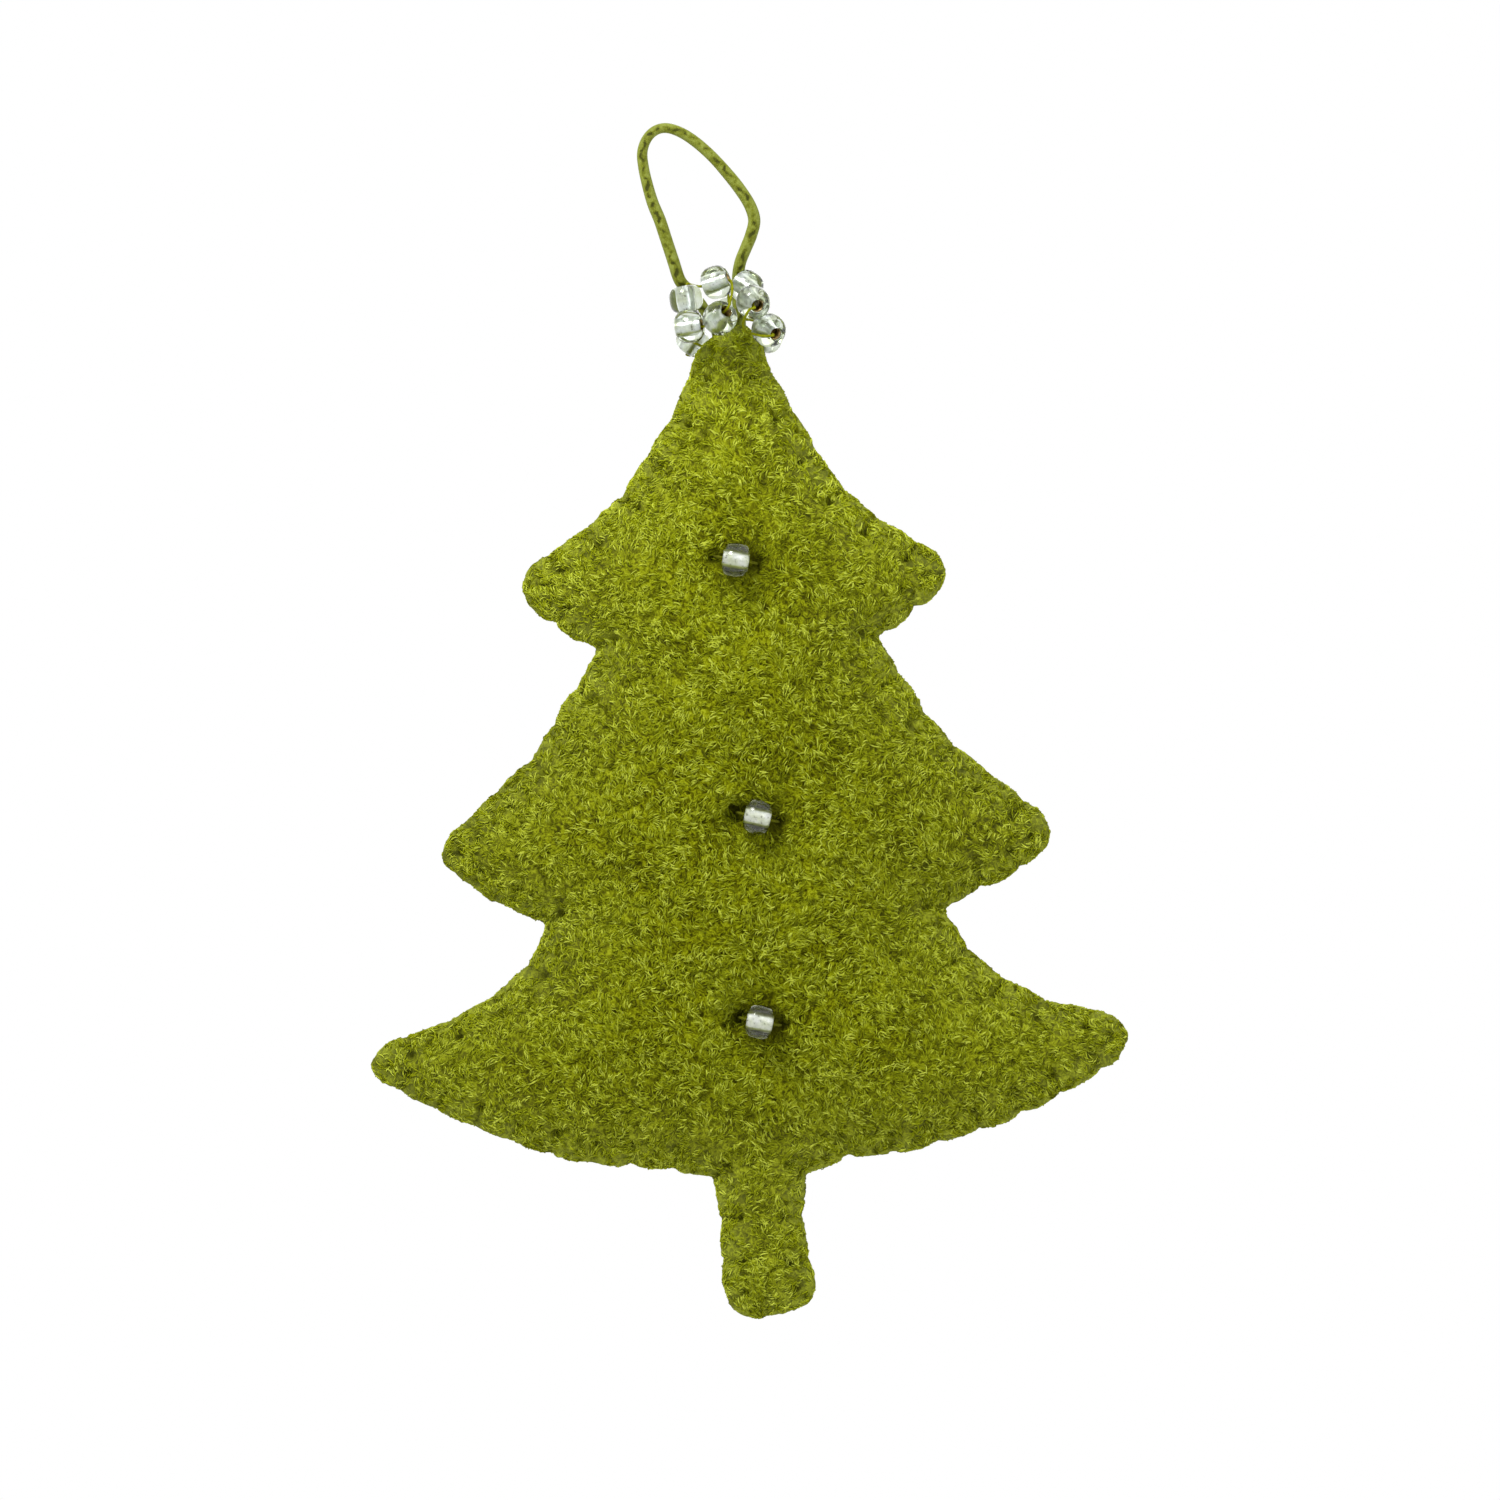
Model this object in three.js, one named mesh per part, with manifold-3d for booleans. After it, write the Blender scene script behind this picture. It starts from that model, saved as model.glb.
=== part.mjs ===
// A stuffed felt tree to hang up: two felt panels whip-stitched round a soft filling, three glass
// beads tied through the body, a bunch of glass beads at the tip and a loop of waxed cord.
// Millimetres, +Z up, the front faces -Y. The origin is the inside of the loop's crest, where the
// tree hangs. Outlines are drawn in a flat plane: x to the right, z up from the trunk's foot.
import * as THREE from "three";
import { mergeVertices } from "three/addons/utils/BufferGeometryUtils.js";
import Module from "manifold-3d";

const wasm = await Module();
wasm.setup();

// The tree
const treeWidth = 87; // across the lowest tier
const treeHeight = 113.5; // from the trunk's foot to the tip
const feltThickness = 1.8;
const rimThicknessShare = 0.72; // the stitches press the felt together at the rim
const seamGap = 0.3; // between the two panels at the rim
const seamWidth = 2.6; // from the rim to where the panels part
const crownHeight = 7.4; // half the filling's thickness in the widest tier
const crownReach = 20; // from the seam to where the filling has that thickness
const fillGap = 0.4; // between the filling and the felt
const fillInset = 3.4; // from the rim to the filling
const fillSpacing = 5.3; // between the points that carry the crown

// The whip stitches
const stitchPitch = 5;
const stitchBite = 2; // how deep each stitch cuts into the rim
const stitchMouth = 1.9; // how wide that cut opens at the rim
const lobeBulge = 0.35; // how far the felt swells out between two stitches
const sewingThread = 0.5; // diameter
const threadGap = 0.42; // between a thread and the felt that it goes round

// The glass beads
const beadDiameter = 3.9;
const beadLength = 3.1;
const boreDiameter = 1.4;
const beadRounding = 0.9; // the radius of a bead's ends
const bunchStepShare = 0.557; // of a bead's diameter and length together: the bunch's spacing

// The beads that are tied through the body
const tuftThread = 0.4; // diameter
const tuftHole = 1.9; // across the corners of each hole in the felt
const tuftReach = 0.95; // from a bead's end to the hole beside it
const dimpleRadius = 7;
const frontPull = 3.2; // how deep the thread draws the front in
const backPull = 1.8; // and the back
const seatGap = 0.3; // between a bead or a knot and the felt under it
const knotDiameter = 1.8;

// The cord
const cordDiameter = 1.35;
const cordGap = 0.3; // between the cord and what it passes
const throatLength = 17; // how far down the tip the panels stay open for the cord
const cordKnotDiameter = 4;
const cordSpread = 2.5; // between the two buried ends
const knotRise = 4; // from the throat's floor to the middle of the cord's knot
const tipThread = 0.4; // diameter
const beadGap = 0.22; // between a bead's end and the thread that turns there

// The outline of the felt, as shares of the tree's width and height, from the left of the tip
// down, across the trunk's foot and up the other side. Each run is one smooth line, sewn from
// end to end; the last line, across the tip, stays open.
const outlineRunShares = [
  [[-0.031, 0.997], [-0.047, 0.97], [-0.08, 0.907], [-0.108, 0.876], [-0.148, 0.832],
    [-0.2, 0.799], [-0.245, 0.776], [-0.271, 0.763], [-0.28, 0.743]],
  [[-0.28, 0.743], [-0.268, 0.724], [-0.235, 0.702], [-0.185, 0.682]],
  [[-0.185, 0.682], [-0.195, 0.66], [-0.226, 0.629], [-0.245, 0.604], [-0.272, 0.574],
    [-0.31, 0.547], [-0.354, 0.516], [-0.391, 0.49], [-0.397, 0.473]],
  [[-0.397, 0.473], [-0.384, 0.461], [-0.355, 0.441], [-0.318, 0.424], [-0.264, 0.405]],
  [[-0.264, 0.405], [-0.272, 0.379], [-0.322, 0.339], [-0.386, 0.311], [-0.428, 0.298],
    [-0.474, 0.288], [-0.5, 0.268]],
  [[-0.5, 0.268], [-0.494, 0.255], [-0.462, 0.239], [-0.38, 0.206], [-0.3, 0.18], [-0.22, 0.161],
    [-0.13, 0.154], [-0.053, 0.142]],
  [[-0.053, 0.142], [-0.046, 0.118], [-0.043, 0.076], [-0.043, 0.039], [-0.036, 0.014]],
  [[-0.036, 0.014], [-0.02, 0.001], [0.026, 0.001], [0.068, 0.013]],
  [[0.068, 0.013], [0.078, 0.028], [0.072, 0.05], [0.066, 0.075], [0.064, 0.113], [0.07, 0.142]],
  [[0.07, 0.142], [0.13, 0.158], [0.2, 0.162], [0.27, 0.175], [0.35, 0.194], [0.43, 0.224],
    [0.482, 0.247], [0.5, 0.272]],
  [[0.5, 0.272], [0.487, 0.288], [0.452, 0.3], [0.41, 0.305], [0.355, 0.326], [0.31, 0.35],
    [0.276, 0.384], [0.262, 0.406]],
  [[0.262, 0.406], [0.29, 0.419], [0.35, 0.438], [0.394, 0.463], [0.404, 0.476]],
  [[0.404, 0.476], [0.397, 0.498], [0.376, 0.511], [0.33, 0.54], [0.287, 0.569], [0.249, 0.6],
    [0.227, 0.63], [0.205, 0.655], [0.185, 0.684]],
  [[0.185, 0.684], [0.224, 0.702], [0.25, 0.717], [0.271, 0.732], [0.277, 0.744]],
  [[0.277, 0.744], [0.269, 0.765], [0.242, 0.777], [0.191, 0.803], [0.156, 0.827], [0.124, 0.858],
    [0.097, 0.895], [0.07, 0.938], [0.05, 0.973], [0.036, 0.999]],
];
const trunkRun = 6; // the run that goes down the trunk's left side
const tipPointShares = [0.25, 0.5, 0.75]; // the points across the open tip

// The tied beads: [x, z] as shares of the tree's width and height, and how far the bore tilts down
// to the right, as a share of its run.
const tiedBeads = [
  { name: "upper_bead", xShare: 0.002, zShare: 0.765, tiltShare: 0.2 },
  { name: "middle_bead", xShare: 0.02, zShare: 0.505, tiltShare: 0.26 },
  { name: "lower_bead", xShare: 0.015, zShare: 0.299, tiltShare: 0.22 },
];

// The bunch at the tip: the middle of each bead in bunch steps from the middle of the tip's top
// edge, and the direction of its bore.
const bunchShares = [
  { name: "tip_bead_a", at: [-1.24, -0.57, 0.95], along: [0.12, 0, -1] },
  { name: "tip_bead_b", at: [-1.17, -1.2, 0.12], along: [1, -0.3, 0.1] },
  { name: "tip_bead_c", at: [-0.26, -1.6, 0.33], along: [0.5, -0.7, 0.45] },
  { name: "tip_bead_d", at: [-0.34, -1.09, 1.4], along: [1, -0.25, 0.3] },
  { name: "tip_bead_e", at: [0.56, -0.45, 1.25], along: [0.7, -0.3, -0.5] },
  { name: "tip_bead_f", at: [0.73, -1.47, 0.765], along: [0.3, -0.85, -0.3] },
  { name: "tip_bead_g", at: [1.16, -0.94, -0.04], along: [0.5, -0.75, -0.35] },
  { name: "tip_bead_h", at: [1.08, 1.31, -0.18], along: [0.3, -0.4, 0.85] },
  { name: "tip_bead_i", at: [-1.08, 1.31, -0.23], along: [-0.6, 0.2, -0.8] },
  { name: "tip_bead_j", at: [0, 1.31, 0.54], along: [-1, 0.1, 0.2] },
];

// The threads that string them, each from the felt of the tip: a place in bunch steps from the
// same middle, or a bead and the way through it, 1 along its direction and -1 against it.
const tipThreadShares = [
  {
    name: "tip_thread_left",
    steps: [
      [0, -0.14, -0.85], [0, -0.14, 0.15], ["tip_bead_a", -1], [-0.95, -0.77, 1.48],
      ["tip_bead_d", 1], [0.21, -1.36, 1.33], [0.14, -1.8, 0.98], ["tip_bead_c", -1],
      ["tip_bead_b", -1], [-1.5, -0.2, 0.1], [-0.8, 0, 0.14],
    ],
  },
  {
    name: "tip_thread_right",
    steps: [
      [0, 0.14, -0.85], [0, 0.14, 0.15], [0.02, 0.08, 1.3], ["tip_bead_e", 1], ["tip_bead_f", 1],
      [0.85, -1.92, 0.31], [0.66, -1.5, 0.08], [0.5, -1.1, -0.08], [0.87, -1.64, -0.25],
      [1.3, -1.66, -0.27], ["tip_bead_g", -1], [0.44, -0.33, 0.24],
    ],
  },
  {
    name: "tip_thread_back",
    steps: [
      [-1, 0.66, -0.8], [-1.28, 1.18, -0.9], ["tip_bead_i", -1], ["tip_bead_j", -1], ["tip_bead_h", -1],
    ],
    endsInKnot: true,
  },
];

// The cord's free loop and its two buried ends, in millimetres: [x, y, z] from the middle of the
// tip's top edge. The loop's first and last points are where it swings.
const loopRoute = [
  [-5.7, 0, 6.4], [-6.3, 0, 8.3], [-7.05, 0, 10.7], [-7.7, 0, 12.9], [-8.45, 0, 14.9], [-9, 0, 17],
  [-9.4, 0, 19.1], [-9.5, 0, 20.8], [-9, 0, 22.25], [-8.05, 0, 23.2], [-6.8, 0, 23.5], [-5.3, 0, 23.05],
  [-3.6, 0, 21.95], [-1.7, 0, 20.2], [0.1, 0, 18.1], [1.55, 0, 16.1], [2.6, 0, 14.25], [3.05, 0, 12.6],
  [2.7, 0, 11], [2.15, 0, 9.55], [1.6, 0, 8.18],
];
const crest = loopRoute[10];
const buriedEnds = [
  [[-5.45, 0.1, 5.45], [-5.15, 0.45, 4.7], [-4.6, 0.85, 3.85], [-3.85, 1.1, 3], [-2.95, 1, 2.2],
    [-2.1, 0.6, 1.35], [-1.55, 0.22, 0.5], [-1.3, 0.03, -0.5], [-1.25, 0, -1.7], [-1.25, 0, -5.3],
    [-1.25, 0, -9.3]],
  [[1.37, 0.07, 7.28], [1.22, 0.42, 6.4], [1.15, 0.88, 5.4], [1.15, 1.18, 4.3], [1.15, 1.08, 3.1],
    [1.2, 0.62, 1.9], [1.25, 0.15, 0.7], [1.25, 0, -0.5], [1.25, 0, -2.2], [1.25, 0, -5.3], [1.25, 0, -9.3]],
];

const sectionSides = { cord: 8, thread: 4 };
const beadSegments = 12;
const ringSteps = 10; // points round each tied bead
const throatRows = 5;
const smoothingPasses = 2;
const rowShiftShare = 0.618; // how far each row of crown points steps along from the row before
const clearShare = 0.33; // how near, in fillSpacing, a crown point may come to other points
const insetToleranceShare = 0.97; // the filling's outline leaves out points nearer to the rim
const lobeShares = [0.3, 0.5, 0.7]; // where the thread crosses a lobe, from stitch to stitch
const threadDepthShare = 0.15; // of the cut, where the thread passes through it
const seatShare = 0.75; // of a hole, past its middle: the felt that a knot lies on
const knotSeatShare = 0.4; // of the knot, where its thread enters it

const colour = { felt: 0x7d8518, fill: 0xf1efe8, thread: 0x8a9030, glass: 0xb8bda8, cord: 0x8c9a3a };

// A flat point moved along a direction.
const moved = ([x, z], [dx, dz], distance) => [x + dx * distance, z + dz * distance];
const between = (a, b) => Math.hypot(...a.map((value, axis) => value - b[axis]));

// The smooth line of each run, and how many stitches it takes.
const runs = outlineRunShares.map((shares) => {
  const points = shares.map(([x, z]) => new THREE.Vector3(x * treeWidth, z * treeHeight, 0));
  const curve = new THREE.CatmullRomCurve3(points, false, "centripetal");
  return { curve, count: Math.max(1, Math.round(curve.getLength() / stitchPitch)) };
});

// A place on a run: its point and the direction into the felt, which is on the left of the line.
function placeOn(run, share) {
  const point = run.curve.getPointAt(share);
  const tangent = run.curve.getTangentAt(share);
  return { point: [point.x, point.y], inward: [-tangent.y, tangent.x] };
}

// The stitches and the lobes between them, in order round the tree. A stitch at the end of a run
// turns the corner, so it points halfway between the two runs.
function stitchesRound() {
  const found = [];
  runs.forEach((run, index) => {
    for (let k = 0; k < run.count; k++) {
      const lobe = lobeShares.map((share) => placeOn(run, (k + share) / run.count));
      found.push({ lobe });
      const next = runs[index + 1];
      const isCorner = k + 1 === run.count;
      if (isCorner && !next) return;
      const half = stitchMouth / 2;
      const place = placeOn(run, (k + 1) / run.count);
      const before = placeOn(run, (k + 1) / run.count - half / run.curve.getLength()).point;
      const following = isCorner ? next : run;
      const start = isCorner ? 0 : (k + 1) / run.count;
      const after = placeOn(following, start + half / following.curve.getLength()).point;
      if (isCorner) {
        const other = placeOn(next, 0).inward;
        const sum = place.inward.map((value, axis) => value + other[axis]);
        place.inward = sum.map((value) => value / Math.hypot(...sum));
      }
      found.push({ stitch: place, before, after });
    }
  });
  return found;
}

const round = stitchesRound();
const tipLeft = placeOn(runs[0], 0).point;
const tipRight = placeOn(runs.at(-1), 1).point;
const tipMiddle = tipLeft.map((value, axis) => (value + tipRight[axis]) / 2);
const openTip = tipPointShares.map((share) =>
  tipRight.map((value, axis) => value + (tipLeft[axis] - value) * share));

// The plain rim, without its cuts, and the cut rim that the felt has.
const rim = [tipLeft, ...round.map((item) => (item.stitch ?? item.lobe[1]).point), tipRight];
const cutRim = [
  tipLeft,
  ...round.flatMap((item) => (item.stitch
    ? [item.before, moved(item.stitch.point, item.stitch.inward, stitchBite), item.after]
    : [moved(item.lobe[1].point, item.lobe[1].inward, -lobeBulge)])),
  tipRight,
  ...openTip,
];

// How far a point lies from the rim.
function distanceToRim([x, z]) {
  return Math.min(...rim.map(([ax, az], index) => {
    const [bx, bz] = rim[(index + 1) % rim.length];
    const length2 = (bx - ax) ** 2 + (bz - az) ** 2;
    const along = Math.min(1, Math.max(0, ((x - ax) * (bx - ax) + (z - az) * (bz - az)) / length2));
    return Math.hypot(x - ax - along * (bx - ax), z - az - along * (bz - az));
  }));
}

function isInside([x, z], polygon) {
  return polygon.reduce((inside, [ax, az], index) => {
    const [bx, bz] = polygon[(index + 1) % polygon.length];
    return (az > z) !== (bz > z) && x < ax + ((z - az) / (bz - az)) * (bx - ax) ? !inside : inside;
  }, false);
}

// The tied beads' places, and the corners of the two holes beside each.
const ties = tiedBeads.map(({ name, xShare, zShare, tiltShare }) => {
  const centre = [xShare * treeWidth, zShare * treeHeight];
  const across = [1, -tiltShare].map((value) => value / Math.hypot(1, tiltShare));
  const reach = beadLength / 2 + tuftReach;
  const holes = [-1, 1].map((side) => {
    const middle = moved(centre, across, side * reach);
    const corners = [0, 1, 2].map((corner) => {
      const turn = Math.atan2(across[1] * side, across[0] * side) + (corner * 2 * Math.PI) / 3;
      return moved(middle, [Math.cos(turn), Math.sin(turn)], tuftHole / 2);
    });
    return { middle, corners };
  });
  return { name, centre, across, reach, holes };
});

// The filling's own outline follows the rim. It stays out of the narrow trunk, and it ends below
// the cord's knot.
const throatWidth = cordSpread + cordDiameter + 2 * cordGap;
const fillTop = treeHeight - throatLength;
const trunkTop = outlineRunShares[trunkRun][0][1] * treeHeight;
const fillRim = round
  .filter((item) => item.stitch)
  .map((item) => moved(item.stitch.point, item.stitch.inward, fillInset))
  .filter((point) => distanceToRim(point) > fillInset * insetToleranceShare)
  .filter(([, z]) => z > trunkTop + fillInset && z < fillTop);

// The points that carry the crown: rows in steps, closer rows down the throat, and a ring round
// each tied bead.
const crownPoints = [];
const clearOf = fillSpacing * clearShare;
const ringRadius = beadLength / 2 + tuftReach + tuftHole;
const rowHeight = fillSpacing * Math.sin(Math.PI / 3);
for (let row = 0; row * rowHeight < treeHeight; row++) {
  for (let column = 0; column * fillSpacing < treeWidth; column++) {
    const x = (column + ((row * rowShiftShare) % 1)) * fillSpacing - treeWidth / 2;
    const point = [x, row * rowHeight];
    const isClear = ties.every((tie) => between(tie.centre, point) > ringRadius + clearOf);
    const isBelow = point[1] < fillTop - clearOf;
    const fromRim = isInside(point, cutRim) ? distanceToRim(point) : 0;
    if (isClear && isBelow && fromRim > fillInset + clearOf) crownPoints.push(point);
  }
}
const ringPoints = ties.flatMap((tie) =>
  Array.from({ length: ringSteps }, (_, index) => {
    const turn = (index * 2 * Math.PI) / ringSteps;
    return moved(tie.centre, [Math.cos(turn), Math.sin(turn)], ringRadius);
  }));
const throatPoints = [];
for (let row = 1; row <= throatRows; row++) {
  for (const side of [-1, 0, 1]) {
    const z = tipMiddle[1] - (row * throatLength) / throatRows;
    throatPoints.push([tipMiddle[0] + (side * throatWidth) / 2, z]);
  }
}

// Joins flat points into triangles whose circles hold no other point.
function triangulated(points) {
  const farShare = 40;
  const far = farShare * treeHeight;
  const all = [...points, [-far, -far], [far, -far], [0, far]];
  const circled = (a, b, c) => {
    const [[ax, az], [bx, bz], [cx, cz]] = [a, b, c].map((index) => all[index]);
    const d = 2 * ((bx - ax) * (cz - az) - (bz - az) * (cx - ax));
    const b2 = (bx - ax) ** 2 + (bz - az) ** 2;
    const c2 = (cx - ax) ** 2 + (cz - az) ** 2;
    const x = ((cz - az) * b2 - (bz - az) * c2) / d;
    const z = ((bx - ax) * c2 - (cx - ax) * b2) / d;
    return { corners: [a, b, c], centre: [ax + x, az + z], radius: Math.hypot(x, z) };
  };
  let found = [circled(points.length, points.length + 1, points.length + 2)];
  points.forEach((point, index) => {
    const edges = new Map();
    found = found.filter((cell) => {
      if (between(point, cell.centre) >= cell.radius) return true;
      const [a, b, c] = cell.corners;
      for (const [from, to] of [[a, b], [b, c], [c, a]]) {
        if (!edges.delete(`${to},${from}`)) edges.set(`${from},${to}`, [from, to]);
      }
      return false;
    });
    for (const [from, to] of edges.values()) found.push(circled(from, to, index));
  });
  return found
    .map((cell) => cell.corners)
    .filter((cell) => cell.every((index) => index < points.length));
}

const flatPoints = [
  ...cutRim,
  ...ties.flatMap((tie) => [tie.centre, ...tie.holes.flatMap((hole) => hole.corners)]),
  ...ringPoints,
  ...throatPoints,
  ...fillRim,
  ...crownPoints,
];
const middleOf = (cell) => [0, 1].map((axis) =>
  cell.reduce((sum, index) => sum + flatPoints[index][axis], 0) / 3);
const feltCells = triangulated(flatPoints).filter((cell) => {
  const middle = middleOf(cell);
  const inHole = ties.some((tie) => tie.holes.some((hole) => isInside(middle, hole.corners)));
  return isInside(middle, cutRim) && !inHole;
});
const fillCells = feltCells
  .filter((cell) => cell.every((index) => index >= cutRim.length))
  .filter((cell) => isInside(middleOf(cell), fillRim));

// Half the hollow's thickness at each point: a crown that rises from the seam, smoothed over the
// neighbours, opened for the cord in the throat and drawn in at each tied bead.
const neighbours = flatPoints.map(() => new Set());
for (const cell of feltCells) {
  for (const a of cell) for (const b of cell) if (a !== b) neighbours[a].add(b);
}
let crown = flatPoints.map((point, index) => {
  const fromSeam = index < cutRim.length ? 0 : Math.max(0, distanceToRim(point) - seamWidth);
  const share = Math.min(1, fromSeam / crownReach);
  return seamGap / 2 + crownHeight * (1 - (1 - share) ** 2);
});
for (let pass = 0; pass < smoothingPasses; pass++) {
  crown = crown.map((height, index) => {
    if (index < cutRim.length) return height;
    const near = [...neighbours[index]];
    return (height + near.reduce((sum, other) => sum + crown[other], 0) / near.length) / 2;
  });
}
const throatDepth = cordDiameter / 2 + cordGap;
const throat = new Set([...openTip, ...throatPoints]);
crown = crown.map((height, index) =>
  (throat.has(flatPoints[index]) ? Math.max(height, throatDepth) : height));
const drawnIn = (pull) => crown.map((height, index) => {
  const nearest = Math.min(...ties.map((tie) => between(tie.centre, flatPoints[index])));
  const pulled = height - pull * Math.exp(-((nearest / dimpleRadius) ** 2));
  return index < cutRim.length ? height : Math.max(pulled, seamGap / 2);
});
const felt = flatPoints.map((point, index) => {
  const share = index < cutRim.length ? 0 : Math.min(1, distanceToRim(point) / seamWidth);
  return feltThickness * (rimThicknessShare + (1 - rimThicknessShare) * share);
});
const frontInner = drawnIn(frontPull);
const backInner = drawnIn(backPull);
const frontOuter = frontInner.map((height, index) => height + felt[index]);
const backOuter = backInner.map((height, index) => height + felt[index]);

// A closed solid over a patch of cells, from one surface to the other. y runs to the back.
function slab(cells, frontFace, backFace) {
  const edges = new Map();
  for (const [a, b, c] of cells) {
    for (const [from, to] of [[a, b], [b, c], [c, a]]) {
      if (!edges.delete(`${to},${from}`)) edges.set(`${from},${to}`, [from, to]);
    }
  }
  const positions = [];
  const corner = (index, face) => {
    const [x, z] = flatPoints[index];
    positions.push(x, face[index], z);
  };
  for (const [a, b, c] of cells) {
    for (const index of [a, b, c]) corner(index, frontFace);
    for (const index of [c, b, a]) corner(index, backFace);
  }
  for (const [from, to] of edges.values()) {
    for (const [index, face] of [[from, frontFace], [from, backFace], [to, frontFace]]) {
      corner(index, face);
    }
    for (const [index, face] of [[to, frontFace], [from, backFace], [to, backFace]]) {
      corner(index, face);
    }
  }
  return new THREE.BufferGeometry()
    .setAttribute("position", new THREE.Float32BufferAttribute(positions, 3));
}

// A line that passes exactly through its points, with rounded or sharp turns as the points say.
class PointLine extends THREE.Curve {
  constructor(points) {
    super();
    this.points = points.map((point) => new THREE.Vector3(...point));
  }
  getPoint(share, target = new THREE.Vector3()) {
    const place = share * (this.points.length - 1);
    const index = Math.min(Math.floor(place), this.points.length - 2);
    return target.lerpVectors(this.points[index], this.points[index + 1], place - index);
  }
  getPointAt(share, target) {
    return this.getPoint(share, target);
  }
  getTangentAt(share, target) {
    return this.getTangent(share, target);
  }
}

// A round strand along points, with flat ends.
function strand(points, diameter, sides) {
  const section = new THREE.Shape(Array.from({ length: sides }, (_, index) => {
    const turn = ((index + 0.5) * 2 * Math.PI) / sides;
    return new THREE.Vector2(Math.cos(turn) * (diameter / 2), Math.sin(turn) * (diameter / 2));
  }));
  const extrudePath = new PointLine(points);
  return new THREE.ExtrudeGeometry(section, { steps: points.length - 1, extrudePath, curveSegments: 1 });
}

// Points spread evenly along a smooth line through hand-set ones.
function smoothLine(points, step) {
  const places = points.map((point) => new THREE.Vector3(...point));
  const curve = new THREE.CatmullRomCurve3(places, false, "centripetal");
  const steps = Math.round(curve.getLength() / step);
  return curve.getSpacedPoints(steps).map((point) => point.toArray());
}

function solidOf(geometry) {
  const plain = geometry.index ? geometry.toNonIndexed() : geometry;
  const bare = new THREE.BufferGeometry().setAttribute("position", plain.getAttribute("position"));
  const merged = mergeVertices(bare);
  return new wasm.Manifold(new wasm.Mesh({
    numProp: 3,
    vertProperties: merged.attributes.position.array,
    triVerts: new Uint32Array(merged.index.array),
  }));
}

function joined(...geometries) {
  const mesh = geometries.map(solidOf).reduce((sum, solid) => sum.add(solid)).getMesh();
  const geometry = new THREE.BufferGeometry();
  geometry.setAttribute("position", new THREE.Float32BufferAttribute(mesh.vertProperties, 3));
  return geometry.setIndex(new THREE.BufferAttribute(mesh.triVerts, 1));
}

function ball(diameter, [x, y, z]) {
  const sides = sectionSides.cord;
  return new THREE.SphereGeometry(diameter / 2, sides, sides / 2 + 1).translate(x, y, z);
}

// One glass bead: a short barrel with round ends and an open bore, lying along +Y.
function beadGeometry() {
  const half = beadLength / 2;
  const outer = beadDiameter / 2;
  const shoulder = Math.min(beadRounding, half, outer - boreDiameter / 2);
  const profile = [
    [boreDiameter / 2, -half],
    [outer - shoulder, -half],
    [outer - shoulder * (1 - Math.SQRT1_2), -half + shoulder * (1 - Math.SQRT1_2)],
    [outer, shoulder - half],
    [outer, half - shoulder],
    [outer - shoulder * (1 - Math.SQRT1_2), half - shoulder * (1 - Math.SQRT1_2)],
    [outer - shoulder, half],
    [boreDiameter / 2, half],
    [boreDiameter / 2, -half],
  ];
  return new THREE.LatheGeometry(profile.map(([r, y]) => new THREE.Vector2(r, y)), beadSegments);
}

const tree = new THREE.Group();

function add(name, geometry, color, roughness, extra = {}) {
  const material = new THREE.MeshStandardMaterial({ color, roughness, metalness: 0, ...extra });
  const mesh = new THREE.Mesh(geometry, material);
  mesh.name = name;
  tree.add(mesh);
  return mesh;
}

function addBead(name, place, along) {
  const bead = add(name, beadGeometry(), colour.glass, 0.08, { transparent: true, opacity: 0.8 });
  bead.position.set(...place);
  const bore = new THREE.Vector3(...along).normalize();
  bead.quaternion.setFromUnitVectors(new THREE.Vector3(0, 1, 0), bore);
  return bead;
}

// The two panels and the filling between them.
const negative = (heights) => heights.map((height) => -height);
const less = (heights, gap) => heights.map((height) => height - gap);
add("front_panel", slab(feltCells, negative(frontOuter), negative(frontInner)), colour.felt, 0.95);
add("back_panel", slab(feltCells, backInner, backOuter), colour.felt, 0.95);
const fillFront = negative(less(frontInner, fillGap));
add("filling", slab(fillCells, fillFront, less(backInner, fillGap)), colour.fill, 1);

// The whip stitches: one thread that goes from the front to the back in each cut and comes round
// the lobe of felt to the front again.
const rimLevel = seamGap / 2 + feltThickness * rimThicknessShare;
const threadLevel = rimLevel + threadGap + sewingThread / 2;
const threadOut = lobeBulge + threadGap + sewingThread / 2;
const stitchRoute = round.flatMap(({ stitch, lobe }) => {
  const at = (place, inward, y) => {
    const [x, z] = moved(place.point, place.inward, inward);
    return [x, y, z];
  };
  if (stitch) {
    const depth = stitchBite * threadDepthShare;
    return [at(stitch, depth, -threadLevel), at(stitch, depth, threadLevel)];
  }
  const shoulder = threadLevel - threadGap;
  return [at(lobe[0], -threadOut, shoulder), at(lobe[1], -threadOut, 0), at(lobe[2], -threadOut, -shoulder)];
});
add("edge_thread", strand(stitchRoute, sewingThread, sectionSides.thread), colour.thread, 0.9);

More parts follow.
